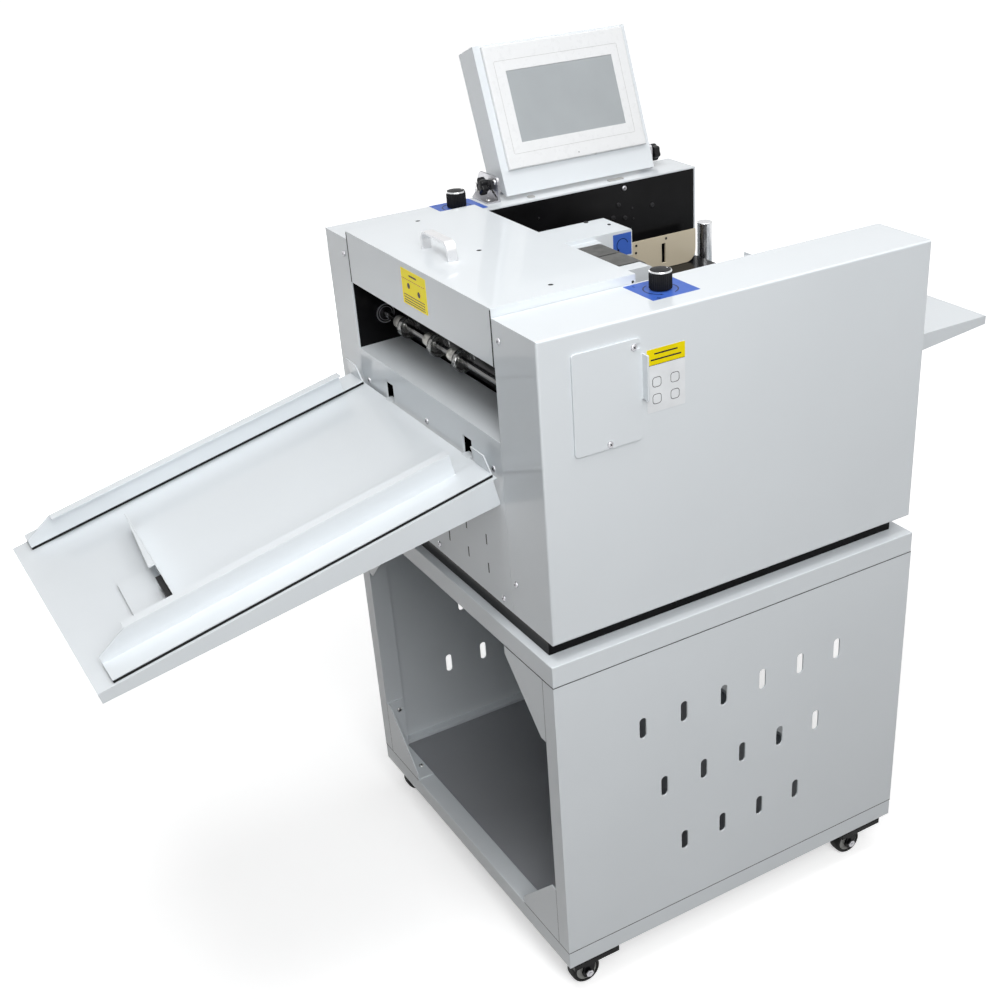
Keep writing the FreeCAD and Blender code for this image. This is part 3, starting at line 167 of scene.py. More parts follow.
class Face:
    """A flat place on the machine: an origin, a direction across it and a direction up it."""

    def __init__(self, origin, across, up):
        self.origin = origin
        self.across = across.normalized()
        self.up = up.normalized()
        self.out = self.across.cross(self.up)

    def point(self, a, b, h=0.0):
        return self.origin + self.across * a + self.up * b + self.out * h

    def tilted(self, a, b, degrees):
        """The same plane with another origin, turned about its outward direction."""
        turn = math.radians(degrees)
        across = self.across * math.cos(turn) + self.up * math.sin(turn)
        up = self.up * math.cos(turn) - self.across * math.sin(turn)
        return Face(self.point(a, b), across, up)


TRAY_SLOPE = math.radians(12.66)
SCREEN_LEAN = math.radians(20.8)
FAR_FRAME = Face(at(-174.65, 0, 0), Y_AXIS, Z_AXIS)
NEAR_FRAME = Face(at(174.65, 0, 0), -Y_AXIS, Z_AXIS)
NEAR_SIDE = Face(at(259.45, 0, 0), Y_AXIS, Z_AXIS)
COVER_TOP = Face(at(0, 0, 840.5), X_AXIS, Y_AXIS)
TRAY = Face(at(0, -3.0, 666.0), X_AXIS, Vector((0, math.cos(TRAY_SLOPE), math.sin(TRAY_SLOPE))))
SCREEN = Face(at(-200.1, 0, 874.4), Y_AXIS, Vector((-math.sin(SCREEN_LEAN), 0, math.cos(SCREEN_LEAN))))


def rounded(x0, y0, x1, y1, radius, steps=4):
    """A rectangle with rounded corners, as points in order."""
    points = []
    corners = ((x1, y1, 0), (x0, y1, 1), (x0, y0, 2), (x1, y0, 3))
    for x, y, quarter in corners:
        centre_x = x - math.copysign(radius, x - (x0 + x1) / 2)
        centre_y = y - math.copysign(radius, y - (y0 + y1) / 2)
        for step in range(steps + 1):
            angle = (quarter + step / steps) * math.pi / 2
            points.append((centre_x + radius * math.cos(angle), centre_y + radius * math.sin(angle)))
    return points


def around(x, y, half_x, half_y):
    """The edges of a rectangle about its centre."""
    return (x - half_x, y - half_y, x + half_x, y + half_y)


def petals(arms, depth):
    """Reach that dips between arms, for lobes, flutes and knurls."""

    def reach(angle):
        return 1 - depth * (0.5 - 0.5 * math.cos(arms * angle))

    return reach


def cross_recess(angle):
    """Reach of a cross: four arms on a small core."""
    core = 0.42
    return core + (1 - core) * abs(math.cos(2 * angle)) ** 5


class Form:
    """Collects the points, in millimetres, and the faces of one piece."""

    def __init__(self):
        self.points = []
        self.faces = []
        self.finishes = []

    def face(self, corners, finish):
        self.faces.append(tuple(corners))
        self.finishes.append(finish)

    def skin(self, rings, finish=0, capped=True):
        """Joins rings of equally many points into a tube, closed at both ends if capped."""
        first = len(self.points)
        many = len(rings[0])
        for ring in rings:
            self.points.extend(ring)
        for row in range(len(rings) - 1):
            low = first + row * many
            for step in range(many):
                after = (step + 1) % many
                self.face((low + step, low + after, low + many + after, low + many + step), finish)
        if capped:
            last = first + (len(rings) - 1) * many
            self.face(range(first, first + many), finish)
            self.face(range(last, last + many), finish)

    def turned(self, base, axis, profile, finish=0, steps=40, capped=True):
        """A piece turned about an axis, from (radius, height) or (radius, height, reach) entries."""
        axis = axis.normalized()
        side = axis.orthogonal().normalized()
        other = axis.cross(side)
        rings = []
        for radius, height, *reach in profile:
            ring = []
            for step in range(steps):
                angle = 2 * math.pi * step / steps
                away = radius * reach[0](angle) if reach else radius
                spoke = side * math.cos(angle) + other * math.sin(angle)
                ring.append(base + axis * height + spoke * away)
            rings.append(ring)
        self.skin(rings, finish, capped)

    def ring(self, base, axis, inner, outer, low, high, finish=0, steps=40):
        """A flat washer."""
        profile = [(inner, low), (inner, high), (outer, high), (outer, low), (inner, low)]
        self.turned(base, axis, profile, finish, steps, capped=False)

    def slab(self, face, outline, low, high, finish=0):
        """An outline on a face, raised from low to high."""
        self.skin([[face.point(a, b, h) for a, b in outline] for h in (low, high)], finish)

    def pad(self, face, edges, radius, low, high, finish=0):
        """A rectangle with rounded corners on a face, raised from low to high."""
        self.slab(face, rounded(*edges, radius), low, high, finish)

    def border(self, face, edges, line, radii, low, high, finish=0):
        """A line along the inside of a rectangle, with its outer and its inner corner radius."""
        x0, y0, x1, y1 = edges
        outer = rounded(*edges, radii[0])
        inner = rounded(x0 + line, y0 + line, x1 - line, y1 - line, radii[1])
        rings = []
        for outline, h in ((inner, low), (inner, high), (outer, high), (outer, low), (inner, low)):
            rings.append([face.point(a, b, h) for a, b in outline])
        self.skin(rings, finish, capped=False)

    def arc(self, face, centre, radius, width, start, end, low, high, finish=0, steps=24):
        """A strip bent along part of a circle, its angles in degrees."""
        outer = radius + width
        sections = []
        for step in range(steps + 1):
            angle = math.radians(start + (end - start) * step / steps)
            section = []
            for away, h in ((radius, low), (radius, high), (outer, high), (outer, low)):
                a = centre[0] + away * math.cos(angle)
                b = centre[1] + away * math.sin(angle)
                section.append(face.point(a, b, h))
            sections.append(section)
        self.skin(sections, finish)

    def make(self, name, body, finishes, replaces=(), edge=0.0, smooth=35.0):
        """Makes the piece, rounds its edges, and hangs it on a body of the frame."""
        mesh = bpy.data.meshes.new(name)
        mesh.from_pydata([point * MM for point in self.points], [], self.faces)
        for finish in finishes:
            mesh.materials.append(finish_of(finish))
        mesh.polygons.foreach_set("material_index", self.finishes)
        work = bmesh.new()
        work.from_mesh(mesh)
        bmesh.ops.recalc_face_normals(work, faces=work.faces)
        work.to_mesh(mesh)
        work.free()
        mesh.shade_smooth()
        mesh.set_sharp_from_angle(angle=math.radians(smooth))
        piece = bpy.data.objects.new(name, mesh)
        bpy.context.scene.collection.objects.link(piece)
        if edge:
            round_edges(piece, edge)
        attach(piece, body)
        if replaces:
            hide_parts(*replaces)


def round_edges(piece, width):
    """Rounds sharp edges by a width in millimetres, and keeps flat faces flat."""
    bevel = piece.modifiers.new("rounded_edges", "BEVEL")
    bevel.width = width * MM
    bevel.segments = 3
    bevel.limit_method = "ANGLE"
    bevel.angle_limit = math.radians(35)
    bevel.use_clamp_overlap = True
    bevel.harden_normals = False
    normals = piece.modifiers.new("flat_faces", "WEIGHTED_NORMAL")
    normals.weight = 80
    normals.keep_sharp = True


def dress(node, finish, edge=None):
    """Gives a node of the frame its finish, and rounds its edges."""
    piece = frame["nodes"][node]
    for slot in piece.material_slots:
        slot.material = finish_of(finish)
    weld = piece.modifiers.new("joined_faces", "WELD")
    weld.merge_threshold = 0.005 * MM
    flat = piece.modifiers.new("whole_faces", "DECIMATE")
    flat.decimate_type = "DISSOLVE"
    flat.angle_limit = math.radians(0.5)
    round_edges(piece, edge or size("sheet_edge"))


def nodes_in(slot):
    """The frame's nodes that the record gives to a material slot."""
    return [part["node"] for part in frame["record"]["subparts"] if part["material_slot"] == slot]


def feed(tree, node, inputs):
    """Gives a node's inputs their values, or links them to the outputs of other nodes."""
    for key, value in inputs.items():
        if isinstance(value, bpy.types.NodeSocket):
            tree.links.new(value, node.inputs[key])
        else:
            node.inputs[key].default_value = value


def add_node(tree, kind, inputs, output=0, **settings):
    """Adds a shader node and returns one of its outputs."""
    node = tree.nodes.new("ShaderNode" + kind)
    for key, value in settings.items():
        setattr(node, key, value)
    feed(tree, node, inputs)
    return node.outputs[output] if node.outputs else None


class Finish:
    """A shader with cloudy colour, uneven gloss and fine grain, its lengths in millimetres."""

    made = {}

    def __init__(self, name, base, roughness, metallic=0.0):
        self.material = bpy.data.materials.new(name)
        self.material.use_nodes = True
        self.tree = self.material.node_tree
        self.shader = self.tree.nodes["Principled BSDF"]
        self.base = base
        self.roughness = roughness
        self.set({"Base Color": (*base, 1.0), "Roughness": roughness, "Metallic": metallic})
        self.material.diffuse_color = (*base, 1.0)
        Finish.made[name] = self.material

    def set(self, inputs):
        feed(self.tree, self.shader, inputs)

    def place(self, stretch=(1, 1, 1)):
        """The piece's own coordinates, squeezed along each axis."""
        where = add_node(self.tree, "TexCoord", {}, "Object")
        return add_node(self.tree, "Mapping", {"Vector": where, "Scale": stretch})

    def cloud(self, patch, stretch=(1, 1, 1), detail=3.0):
        """Cloudy values whose patches have about this width."""
        inputs = {"Vector": self.place(stretch), "Scale": 1 / (patch * MM), "Detail": detail}
        return add_node(self.tree, "TexNoise", inputs, "Fac")

    def ribs(self, pitch, direction):
        """Even ridges along one axis."""
        inputs = {"Vector": self.place(), "Scale": math.pi / (10 * pitch * MM)}
        return add_node(self.tree, "TexWave", inputs, "Fac", bands_direction=direction)

    def mottle(self, value, amount):
        """Colour that drifts darker and lighter by a share of itself."""
        mixed = add_node(self.tree, "ValToRGB", {"Fac": value}, "Color")
        stops = mixed.node.color_ramp.elements
        for stop, position, factor in zip(stops, (0.3, 0.7), (1 - amount, 1 + amount)):
            stop.position = position
            stop.color = (*[min(1.0, channel * factor) for channel in self.base], 1.0)
        self.set({"Base Color": mixed})

    def gloss(self, value, amount):
        """Roughness that drifts either way by an amount."""
        inputs = {"Value": value, "From Min": 0.3, "From Max": 0.7}
        inputs |= {"To Min": self.roughness - amount, "To Max": self.roughness + amount}
        self.set({"Roughness": add_node(self.tree, "MapRange", inputs)})

    def grain(self, value, depth):
        """Raises the surface by a depth where the value is high."""
        inputs = {"Height": value, "Strength": 1.0, "Distance": depth * MM}
        self.set({"Normal": add_node(self.tree, "Bump", inputs)})


def coating(name, base, roughness, mottle, gloss, grain=None, detail=3.0, shine=0.5, metallic=0.0):
    """A finish; mottle, gloss and grain are each a patch size, an amount and perhaps a stretch."""
    finish = Finish(name, base, roughness, metallic)
    patch, amount, *stretch = mottle
    finish.mottle(finish.cloud(patch, *stretch), amount)
    patch, amount, *stretch = gloss
    finish.gloss(finish.cloud(patch, *stretch), amount)
    if grain:
        patch, depth, *stretch = grain
        finish.grain(finish.cloud(patch, *stretch, detail=detail), depth)
    finish.set({"Specular IOR Level": shine})
    return finish


def varnish(finish, weight):
    """A thin glossy coat."""
    finish.set({"Coat Weight": weight, "Coat Roughness": 0.04})


def powder_paint(name, base, roughness):
    """Stoved powder paint: faint orange peel under a thin gloss."""
    finish = coating(name, base, roughness, (160, 0.014), (35, 0.03), (2.2, 0.004), 1.0, 0.3)
    varnish(finish, 0.5)


def machine_black(name, base):
    """Satin black on machined plate, with faint rub marks along its length."""
    coating(name, base, 0.2, (50, 0.3), (20, 0.06, (1, 0.2, 1)), (1.2, 0.003), 1.0, 0.1)


def brushed_metal(name, base, roughness, stretch, drift=0.07):
    """Bare metal with fine tool lines running along the small direction of stretch."""
    lines = (1.5, 0.07, stretch)
    scratches = (0.6, 0.002, stretch)
    coating(name, base, roughness, (12, drift), lines, scratches, 1.0, metallic=1.0)


def moulded_plastic(name, base, roughness, drift=0.06, shine=0.3):
    """Moulded plastic with a fine spark-eroded texture."""
    coating(name, base, roughness, (10, drift), (6, 0.05), (0.5, 0.003), 1.0, shine)


def printed_film(name, base):
    """Printed label film, slightly uneven where it was pressed down."""
    return coating(name, base, 0.34, (20, 0.04), (8, 0.05), (6, 0.01), shine=0.1)


def rubber_belt(name, base):
    """Rubber with a crosswise rib and worn, paler patches."""
    finish = coating(name, base, 0.62, (20, 0.25, (1, 0.3, 1)), (10, 0.1))
    finish.grain(finish.ribs(2.2, "Y"), 0.06)


def finish_of(name):
    """A finish made by an earlier step."""
    if name not in Finish.made:
        raise RuntimeError(f"the finish {name} is made by an earlier step")
    return Finish.made[name]


class MACHINE_OT_finishes(bpy.types.Operator):
    """Makes every finish that the machine's parts share"""

    bl_idname = "machine.finishes"
    bl_label = "Make finishes"

    def execute(self, context):
        tones = context.scene.machine_finishes
        powder_paint("white_paint", tones.paint, tones.paint_roughness)
        powder_paint("beige_paint", tones.beige, 0.42)
        machine_black("black_paint", tones.black)
        # Painted shade: the cabinet floor's paint is darker than the body's white.
        coating("floor_paint", tones.floor_paint, 0.6, (120, 0.04), (30, 0.05), (2, 0.006), 1.0, 0.1)
        self.metals(tones)
        self.plastics(tones)
        self.films(tones)
        return {"FINISHED"}

    def metals(self, tones):
        """Each with its roughness and the direction of its tool lines."""
        brushed_metal("steel", tones.steel, 0.3, (0.05, 1, 1))
        brushed_metal("zinc", tones.zinc, 0.4, (1, 1, 0.3), 0.02)
        brushed_metal("chrome", tones.chrome, 0.24, (1, 1, 0.1), 0.03)
        brushed_metal("aluminium", tones.aluminium, 0.34, (0.1, 1, 1), 0.02)
        brushed_metal("black_oxide", tones.oxide, 0.36, (1, 1, 1))
        brushed_metal("knurled_sleeve", tones.sleeve, 0.42, (0.2, 1, 1))
        # Painted shade: the delivery shaft's steel is darkened for the shadowed mouth.
        brushed_metal("dark_steel", tones.dark_steel, 0.22, (0.05, 1, 1))

    def plastics(self, tones):
        moulded_plastic("black_plastic", tones.plastic_black, 0.48, shine=0.15)
        moulded_plastic("white_plastic", tones.plastic_white, 0.3, 0.012)
        moulded_plastic("grey_plastic", tones.plastic_grey, 0.45)
        coating("gloss_black", tones.plastic_black, 0.2, (8, 0.2), (4, 0.06), (2, 0.004), shine=0.2)
        # This black rubber also makes the dark strips, plates and plugs that paint shade into slots,
        # gaps and joints.
        coating("rubber", tones.rubber, 0.6, (12, 0.2), (6, 0.1), (1.5, 0.02), shine=0.15)
        rubber_belt("belt_rubber", tones.belt)
        display = coating("display", tones.display, 0.24, (80, 0.05), (20, 0.02))
        varnish(display, 0.6)
        clear = coating("clear_plastic", tones.plastic_clear, 0.05, (10, 0.03), (4, 0.03))
        clear.set({"Transmission Weight": 0.95, "IOR": 1.49})

    def films(self, tones):
        printed_film("blue_film", tones.label_blue)
        printed_film("yellow_film", tones.label_yellow)
        bright = printed_film("bright_yellow_film", tones.glowing_yellow)
        # Painted light: a faint glow makes the label brighter than its lighting.
        bright.set({"Emission Color": (*tones.glowing_yellow, 1.0), "Emission Strength": 0.15})
        printed_film("white_film", tones.label_white)
        printed_film("ink", tones.ink)
        printed_film("dark_blue_ink", [channel * 0.12 for channel in tones.label_blue])


class MACHINE_OT_sheet_metal(bpy.types.Operator):
    """Paints the folded sheet parts and the beige side guides, puts painted shade in the vent slots,
    the top cover's end gaps and the cabinet's joints, and paints the floor darker as painted shade
    """

    bl_idname = "machine.sheet_metal"
    bl_label = "Paint sheet metal"

    def execute(self, context):
        broad = ("near_cover", "far_cover", "top_cover", "cabinet_base", "cabinet_top")
        edges = dict.fromkeys(broad, size("cover_edge"))
        edges["screen_housing"] = size("housing_edge")
        own_finish = {"top_handle": "aluminium", "cabinet_floor": "floor_paint"}
        for node in nodes_in("white_paint"):
            dress(node, own_finish.get(node, "white_paint"), edges.get(node))
        for node in nodes_in("beige_paint"):
            dress(node, "beige_paint")
        self.vent_screens()
        self.cover_edging()
        self.cabinet_seams()
        return {"FINISHED"}

    def vent_screens(self):
        """Painted shade: dark plates just behind the two rows of slots in the front panel, standing in
        for the shaded inside seen through them.
        """
        form = Form()
        face = Face(at(0, 0, 0), X_AXIS, Z_AXIS)
        first_x, pitch_x, half_x = (-111.2, 47.0, 1.25)
        first_z, pitch_z, half_z = (537.9, 36.0, 6.4)
        for column in range(6):
            for row in range(2):
                slot = around(first_x + pitch_x * column, first_z + pitch_z * row, half_x, half_z)
                form.pad(face, slot, 0.3, -1.9, -0.05)
        form.make("vent_screens", "machine", ["rubber"])

    def cover_edging(self):
        """Painted shade: thin dark strips on both ends of the top cover's front, standing in for the
        shaded gaps at its ends.
        """
        form = Form()
        low, high = box_of("top_cover")
        face = Face(Vector((0, low[1], 0)), X_AXIS, Z_AXIS)
        wide = 2.2
        proud = 0.08
        for edge in (low[0], high[0] - wide):
            form.pad(face, (edge, low[2] + 0.4, edge + wide, high[2] - 1.6), 0.3, -proud, proud)
        form.make("cover_edging", "top_cover", ["rubber"])

    def cabinet_seams(self):
        """Painted shade: dark lines where the side panels and the gussets meet the two pans, standing
        in for the shadow in the joints' gaps.
        """
        form = Form()
        line = 0.5
        corner = 0.2
        proud = 0.05
        for side, sense in (("near", 1), ("far", -1)):
            low, high = box_of("cabinet_side_" + side)
            outer = high[0] if side == "near" else low[0]
            face = Face(Vector((outer, 0, 0)), Y_AXIS * sense, Z_AXIS)
            start, end = sorted((low[1] * sense, high[1] * sense))
            front = Face(Vector((0, low[1], 0)), X_AXIS, Z_AXIS)
            for z in (low[2], high[2]):
                form.pad(face, (start, z - line, end, z + line), corner, -proud, proud)
                form.pad(front, (low[0], z - line, high[0], z + line), corner, -proud, proud)
        low, high = box_of("cabinet_stiffeners")
        leg = 83.5
        for z0, z1, rim in ((low[2], low[2] + leg, low[2]), (high[2] - leg, high[2], high[2])):
            for x0, x1, post in ((low[0], low[0] + leg, low[0]), (high[0] - leg, high[0], high[0])):
                form.pad(front, (x0, rim - line, x1, rim + line), corner, -proud, proud)
                form.pad(front, (post - line / 2, z0, post + line / 2, z1), corner, -proud, proud)
        form.make("cabinet_seams", "machine", ["rubber"])


class MACHINE_OT_machine_parts(bpy.types.Operator):
    """Finishes the black frames, the turned metal, the plastics and the rubber"""

    bl_idname = "machine.machine_parts"
    bl_label = "Finish machine parts"

    def execute(self, context):
        own_finish = {"feed_belts": "belt_rubber"}
        own_finish |= dict.fromkeys(("die_cylinder", "anvil_cylinder", "shaft_bearings"), "black_oxide")
        finishes = {"dark_plastic": "black_plastic"}
        plain = ("black_paint", "steel", "chrome", "black_plastic", "white_plastic", "rubber")
        for slot in (*plain, *finishes):
            for node in nodes_in(slot):
                if node != "screen_bracket" and node not in own_finish:
                    dress(node, finishes.get(slot, slot))
        for node, finish in own_finish.items():
            dress(node, finish)
        return {"FINISHED"}


def pan_screw(form, base, axis, radius, height, finish=0, recess=1):
    """A screw with a domed head and a dark cross recess."""
    dome = [(0.1, 0.0), (1.0, 0.0), (1.0, 0.35), (0.92, 0.7), (0.75, 0.93), (0.6, 1.0)]
    head = dome + [(0.56, 1.0, cross_recess)]
    cross = [(0.56, 1.0, cross_recess), (0.45, 0.45, cross_recess), (0.01, 0.45)]
    for profile, look in ((head, finish), (cross, recess)):
        shape = [(r * radius, h * height, *reach) for r, h, *reach in profile]
        form.turned(base, axis, shape, look, 32, capped=False)


def socket_screw(form, base, axis, radius, height, finish=0):
    """A low cap screw with a round socket."""
    profile = [(1.0, 0.0), (1.0, 0.8), (0.9, 1.0), (0.55, 1.0), (0.5, 0.3)]
    form.turned(base, axis, [(r * radius, h * height) for r, h in profile], finish, 24)


class MACHINE_OT_screws(bpy.types.Operator):
    """Makes the cover screws, the cabinet's gusset screws and the screws in the side frames"""

    bl_idname = "machine.screws"
    bl_label = "Fit screws"

    def execute(self, context):
        head = (size("screw_radius"), size("screw_height"))
        self.cover_screws(head)
        self.gusset_screws(head)
        self.frame_screws(FAR_FRAME, 1, "far")
        self.frame_screws(NEAR_FRAME, -1, "near")
        return {"FINISHED"}

    def cover_screws(self, head):
        """The screws of the front and the access door, and the top cover's two hinge pins."""
        form = Form()
        places = [(x, z) for x in (-186.25, 186.25) for z in (545.9, 820.4)]
        places += [(x, z) for x in (-155.15, 0.0, 155.15) for z in (513.8, 671.4)]
        for x, z in places:
            pan_screw(form, at(x, 0, z), -Y_AXIS, *head)
        for y, z in ((77.4, 716.3), (107.8, 811.0)):
            form.turned(at(259.0, y, z), X_AXIS, [(2.2, 0.0), (2.2, 2.8)])
            pan_screw(form, at(261.85, y, z), X_AXIS, *head)
        pin = [(2.6, 0.0), (3.0, 0.4), (3.0, 11.1), (2.6, 11.5)]
        for side in (-1, 1):
            form.turned(at(182.65 * side, 158.0, 826.4), X_AXIS * -side, pin)
        form.make("cover_screws_fitted", "machine", ["zinc", "black_oxide"], ["cover_screws"])

    def gusset_screws(self, head):
        """Two screws in each of the eight cabinet gussets."""
        form = Form()
        corners_x = ((243.45, -1), (-221.55, 1))
        ends_y = ((-7.5, 1), (500.7, -1))
        levels_z = ((76.5, 1), (458.1, -1))
        sheet = 2.0
        depth, up_post, along_rim = (17.5, 66.8, 57.5)
        for corner_x, inward in corners_x:
            for end_y, deeper in ends_y:
                for corner_z, upward in levels_z:
                    y = end_y + deeper * depth
                    on_post = at(corner_x + inward * sheet, y, corner_z + upward * up_post)
                    pan_screw(form, on_post, X_AXIS * inward, *head)
                    on_rim = at(corner_x + inward * along_rim, y, corner_z + upward * sheet)
                    pan_screw(form, on_rim, Z_AXIS * upward, *head)
        form.make("gusset_screws", "machine", ["steel", "black_oxide"])

    def frame_screws(self, face, sense, name):
        """One bright and four black screws, and three plugged tapping holes."""
        form = Form()
        pan_screw(form, face.point(sense * 387.8, 831.4), face.out, 3.4, 1.5)
        for y, z in ((378.1, 811.6), (387.7, 793.0), (369.5, 796.3), (430.6, 802.4)):
            socket_screw(form, face.point(sense * y, z), face.out, 3.2, 0.9, 1)
        for y, z in ((259.5, 816.5), (399.5, 803.8), (400.9, 789.9)):
            socket_screw(form, face.point(sense * y, z), face.out, 1.5, 0.4, 1)
        form.make("frame_screws_" + name, "machine", ["zinc", "black_oxide"])


DELIVERY_Y = 38.8
DELIVERY_Z = 742.3


class MACHINE_OT_delivery_rollers(bpy.types.Operator):
    """Makes the delivery shaft with its knurled sleeves, collars and clear wheels"""

    bl_idname = "machine.delivery_rollers"
    bl_label = "Make delivery rollers"

    def execute(self, context):
        form = Form()
        base = at(0, DELIVERY_Y, DELIVERY_Z)
        form.turned(base, X_AXIS, [(3.6, -182.65), (4.0, -182.2), (4.0, 182.2), (3.6, 182.65)])
        for place in (-115.5, -38.5, 21.5, 140.0):
            self.roller(form, base + X_AXIS * place, context.scene.machine_sizes.knurl_ridges)
        finishes = ["dark_steel", "knurled_sleeve", "steel", "clear_plastic"]
        nodes = ["delivery_shaft", "delivery_wheels"]
        form.make("delivery_rollers", "delivery_shaft", finishes, nodes)
        self.bearings()
        return {"FINISHED"}

    def roller(self, form, place, ridges):
        """A knurled sleeve with a groove, a collar and a hollow wheel, side by side."""
        knurl = petals(ridges, 0.035)
        sleeve = [(4.0, -22.0), (7.0, -22.0), (7.6, -21.4, knurl), (7.6, -13.0, knurl)]
        sleeve += [(7.1, -12.85), (7.1, -12.45)]
        sleeve += [(7.6, -12.3, knurl), (7.6, -4.0, knurl), (7.0, -3.5), (4.0, -3.5)]
        form.turned(place, X_AXIS, sleeve, 1, 160, capped=False)
        collar = [(4.0, -3.5), (8.2, -3.5), (8.6, -3.1), (8.6, -0.4), (8.2, 0.0), (4.0, 0.0)]
        form.turned(place, X_AXIS, collar, 2, 48, capped=False)
        rim = size("wheel_radius")
        width = size("wheel_width")
        bore = 4.1
        wheel = [(bore, 0.2), (rim - 0.5, 0.2), (rim, 0.7), (rim, width - 0.5), (rim - 0.5, width)]
        wheel += [(rim - 1.3, width), (rim - 1.8, width - 0.5), (rim - 1.8, 2.2)]
        wheel += [(bore, 2.2), (bore, 0.2)]
        form.turned(place, X_AXIS, wheel, 3, 48, capped=False)

    def bearings(self):
        """The bearing rings that show on the inside of both frames."""
        form = Form()
        for face, sense in ((FAR_FRAME, 1), (NEAR_FRAME, -1)):
            base = face.point(sense * DELIVERY_Y, DELIVERY_Z)
            form.ring(base, face.out, 10.6, 11.8, 0.0, 1.4, 0, 48)
            form.ring(base, face.out, 8.05, 10.6, 0.0, 0.7, 1, 48)
            form.ring(base, face.out, 8.05, 8.7, 0.0, 1.6, 0, 48)
        form.make("delivery_bearing_rings", "machine", ["zinc", "black_oxide"])


KNOB_PLACES = {"near": (206.4, 178.6), "far": (-210.0, 164.4)}


class MACHINE_OT_knobs(bpy.types.Operator):
    """Makes the two fluted pressure knobs and the lobed clamp knobs of the screen"""

    bl_idname = "machine.knobs"
    bl_label = "Make knobs"

    def execute(self, context):
        counts = context.scene.machine_sizes
        for name, (x, y) in KNOB_PLACES.items():
            self.pressure_knob("pressure_knob_" + name, at(x, y, 841.5), counts.knob_flutes)
        self.clamp(counts.star_lobes)
        return {"FINISHED"}

    def pressure_knob(self, name, base, flutes):
        """A fluted grip, a bright ring, a domed cap and a white pointer dot."""
        form = Form()
        rim = size("knob_radius")
        top = size("knob_height")
        flute = petals(flutes, 0.06)
        neck = 0.96 * rim
        grip = [(4.0, -4.0), (4.0, 0.0), (0.93 * rim, 0.0), (rim, 0.8, flute)]
        grip += [(rim, top - 4.2, flute), (neck, top - 3.4), (neck, top - 2.4)]
        form.turned(base, Z_AXIS, grip, 0, 4 * flutes, capped=False)
        ring = [(neck, top - 2.4), (0.985 * rim, top - 2.2), (0.985 * rim, top - 1.6)]
        ring += [(0.95 * rim, top - 0.9), (0.9 * rim, top - 0.7)]
        form.turned(base, Z_AXIS, ring, 1, 64, capped=False)
        cap = [(0.9 * rim, top - 0.7), (0.5 * rim, top - 0.15), (0.12 * rim, top)]
        form.turned(base, Z_AXIS, cap, 0, 64)
        dot = base + Y_AXIS * 0.68 * rim + Z_AXIS * (top - 0.5)
        form.turned(dot, Z_AXIS, [(0.9, 0.0), (0.9, 0.3), (0.5, 0.45)], 2, 16)
        finishes = ["black_plastic", "chrome", "white_plastic"]
        form.make(name + "_fluted", name, finishes, [name])

    def clamp(self, lobes):
        """The through-bolt with a lobed knob at each end."""
        form = Form()
        reach = petals(lobes, 0.16)
        rim = size("star_radius")
        low, high = box_of("clamp_knobs")
        middle = (low + high) / 2
        grip = 14.0
        front = Vector((middle[0], low[1] + grip, middle[2]))
        rear = Vector((middle[0], high[1] - grip, middle[2]))
        form.turned(front, Y_AXIS, [(3.0, 0.0), (3.0, (rear - front).length)], 1, 24)
        knob = [(0.7 * rim, 3.6), (0.96 * rim, 4.4, reach), (rim, 6.0, reach), (rim, 11.4, reach)]
        knob += [(0.95 * rim, 12.8, reach), (0.8 * rim, 13.6, reach)]
        knob += [(0.35 * rim, 13.9), (0.3 * rim, 13.2)]
        for base, axis in ((front, -Y_AXIS), (rear, Y_AXIS)):
            form.turned(base, axis, [(6.5, 0.0), (6.5, 3.4), (5.6, 3.8)], 0, 32)
            form.turned(base, axis, knob, 0, 12 * lobes)
        finishes = ["gloss_black", "zinc"]
        form.make("clamp_knobs_lobed", "clamp_knobs", finishes, ["clamp_knobs"])


FILM = 0.15
INK = 1.3 * FILM


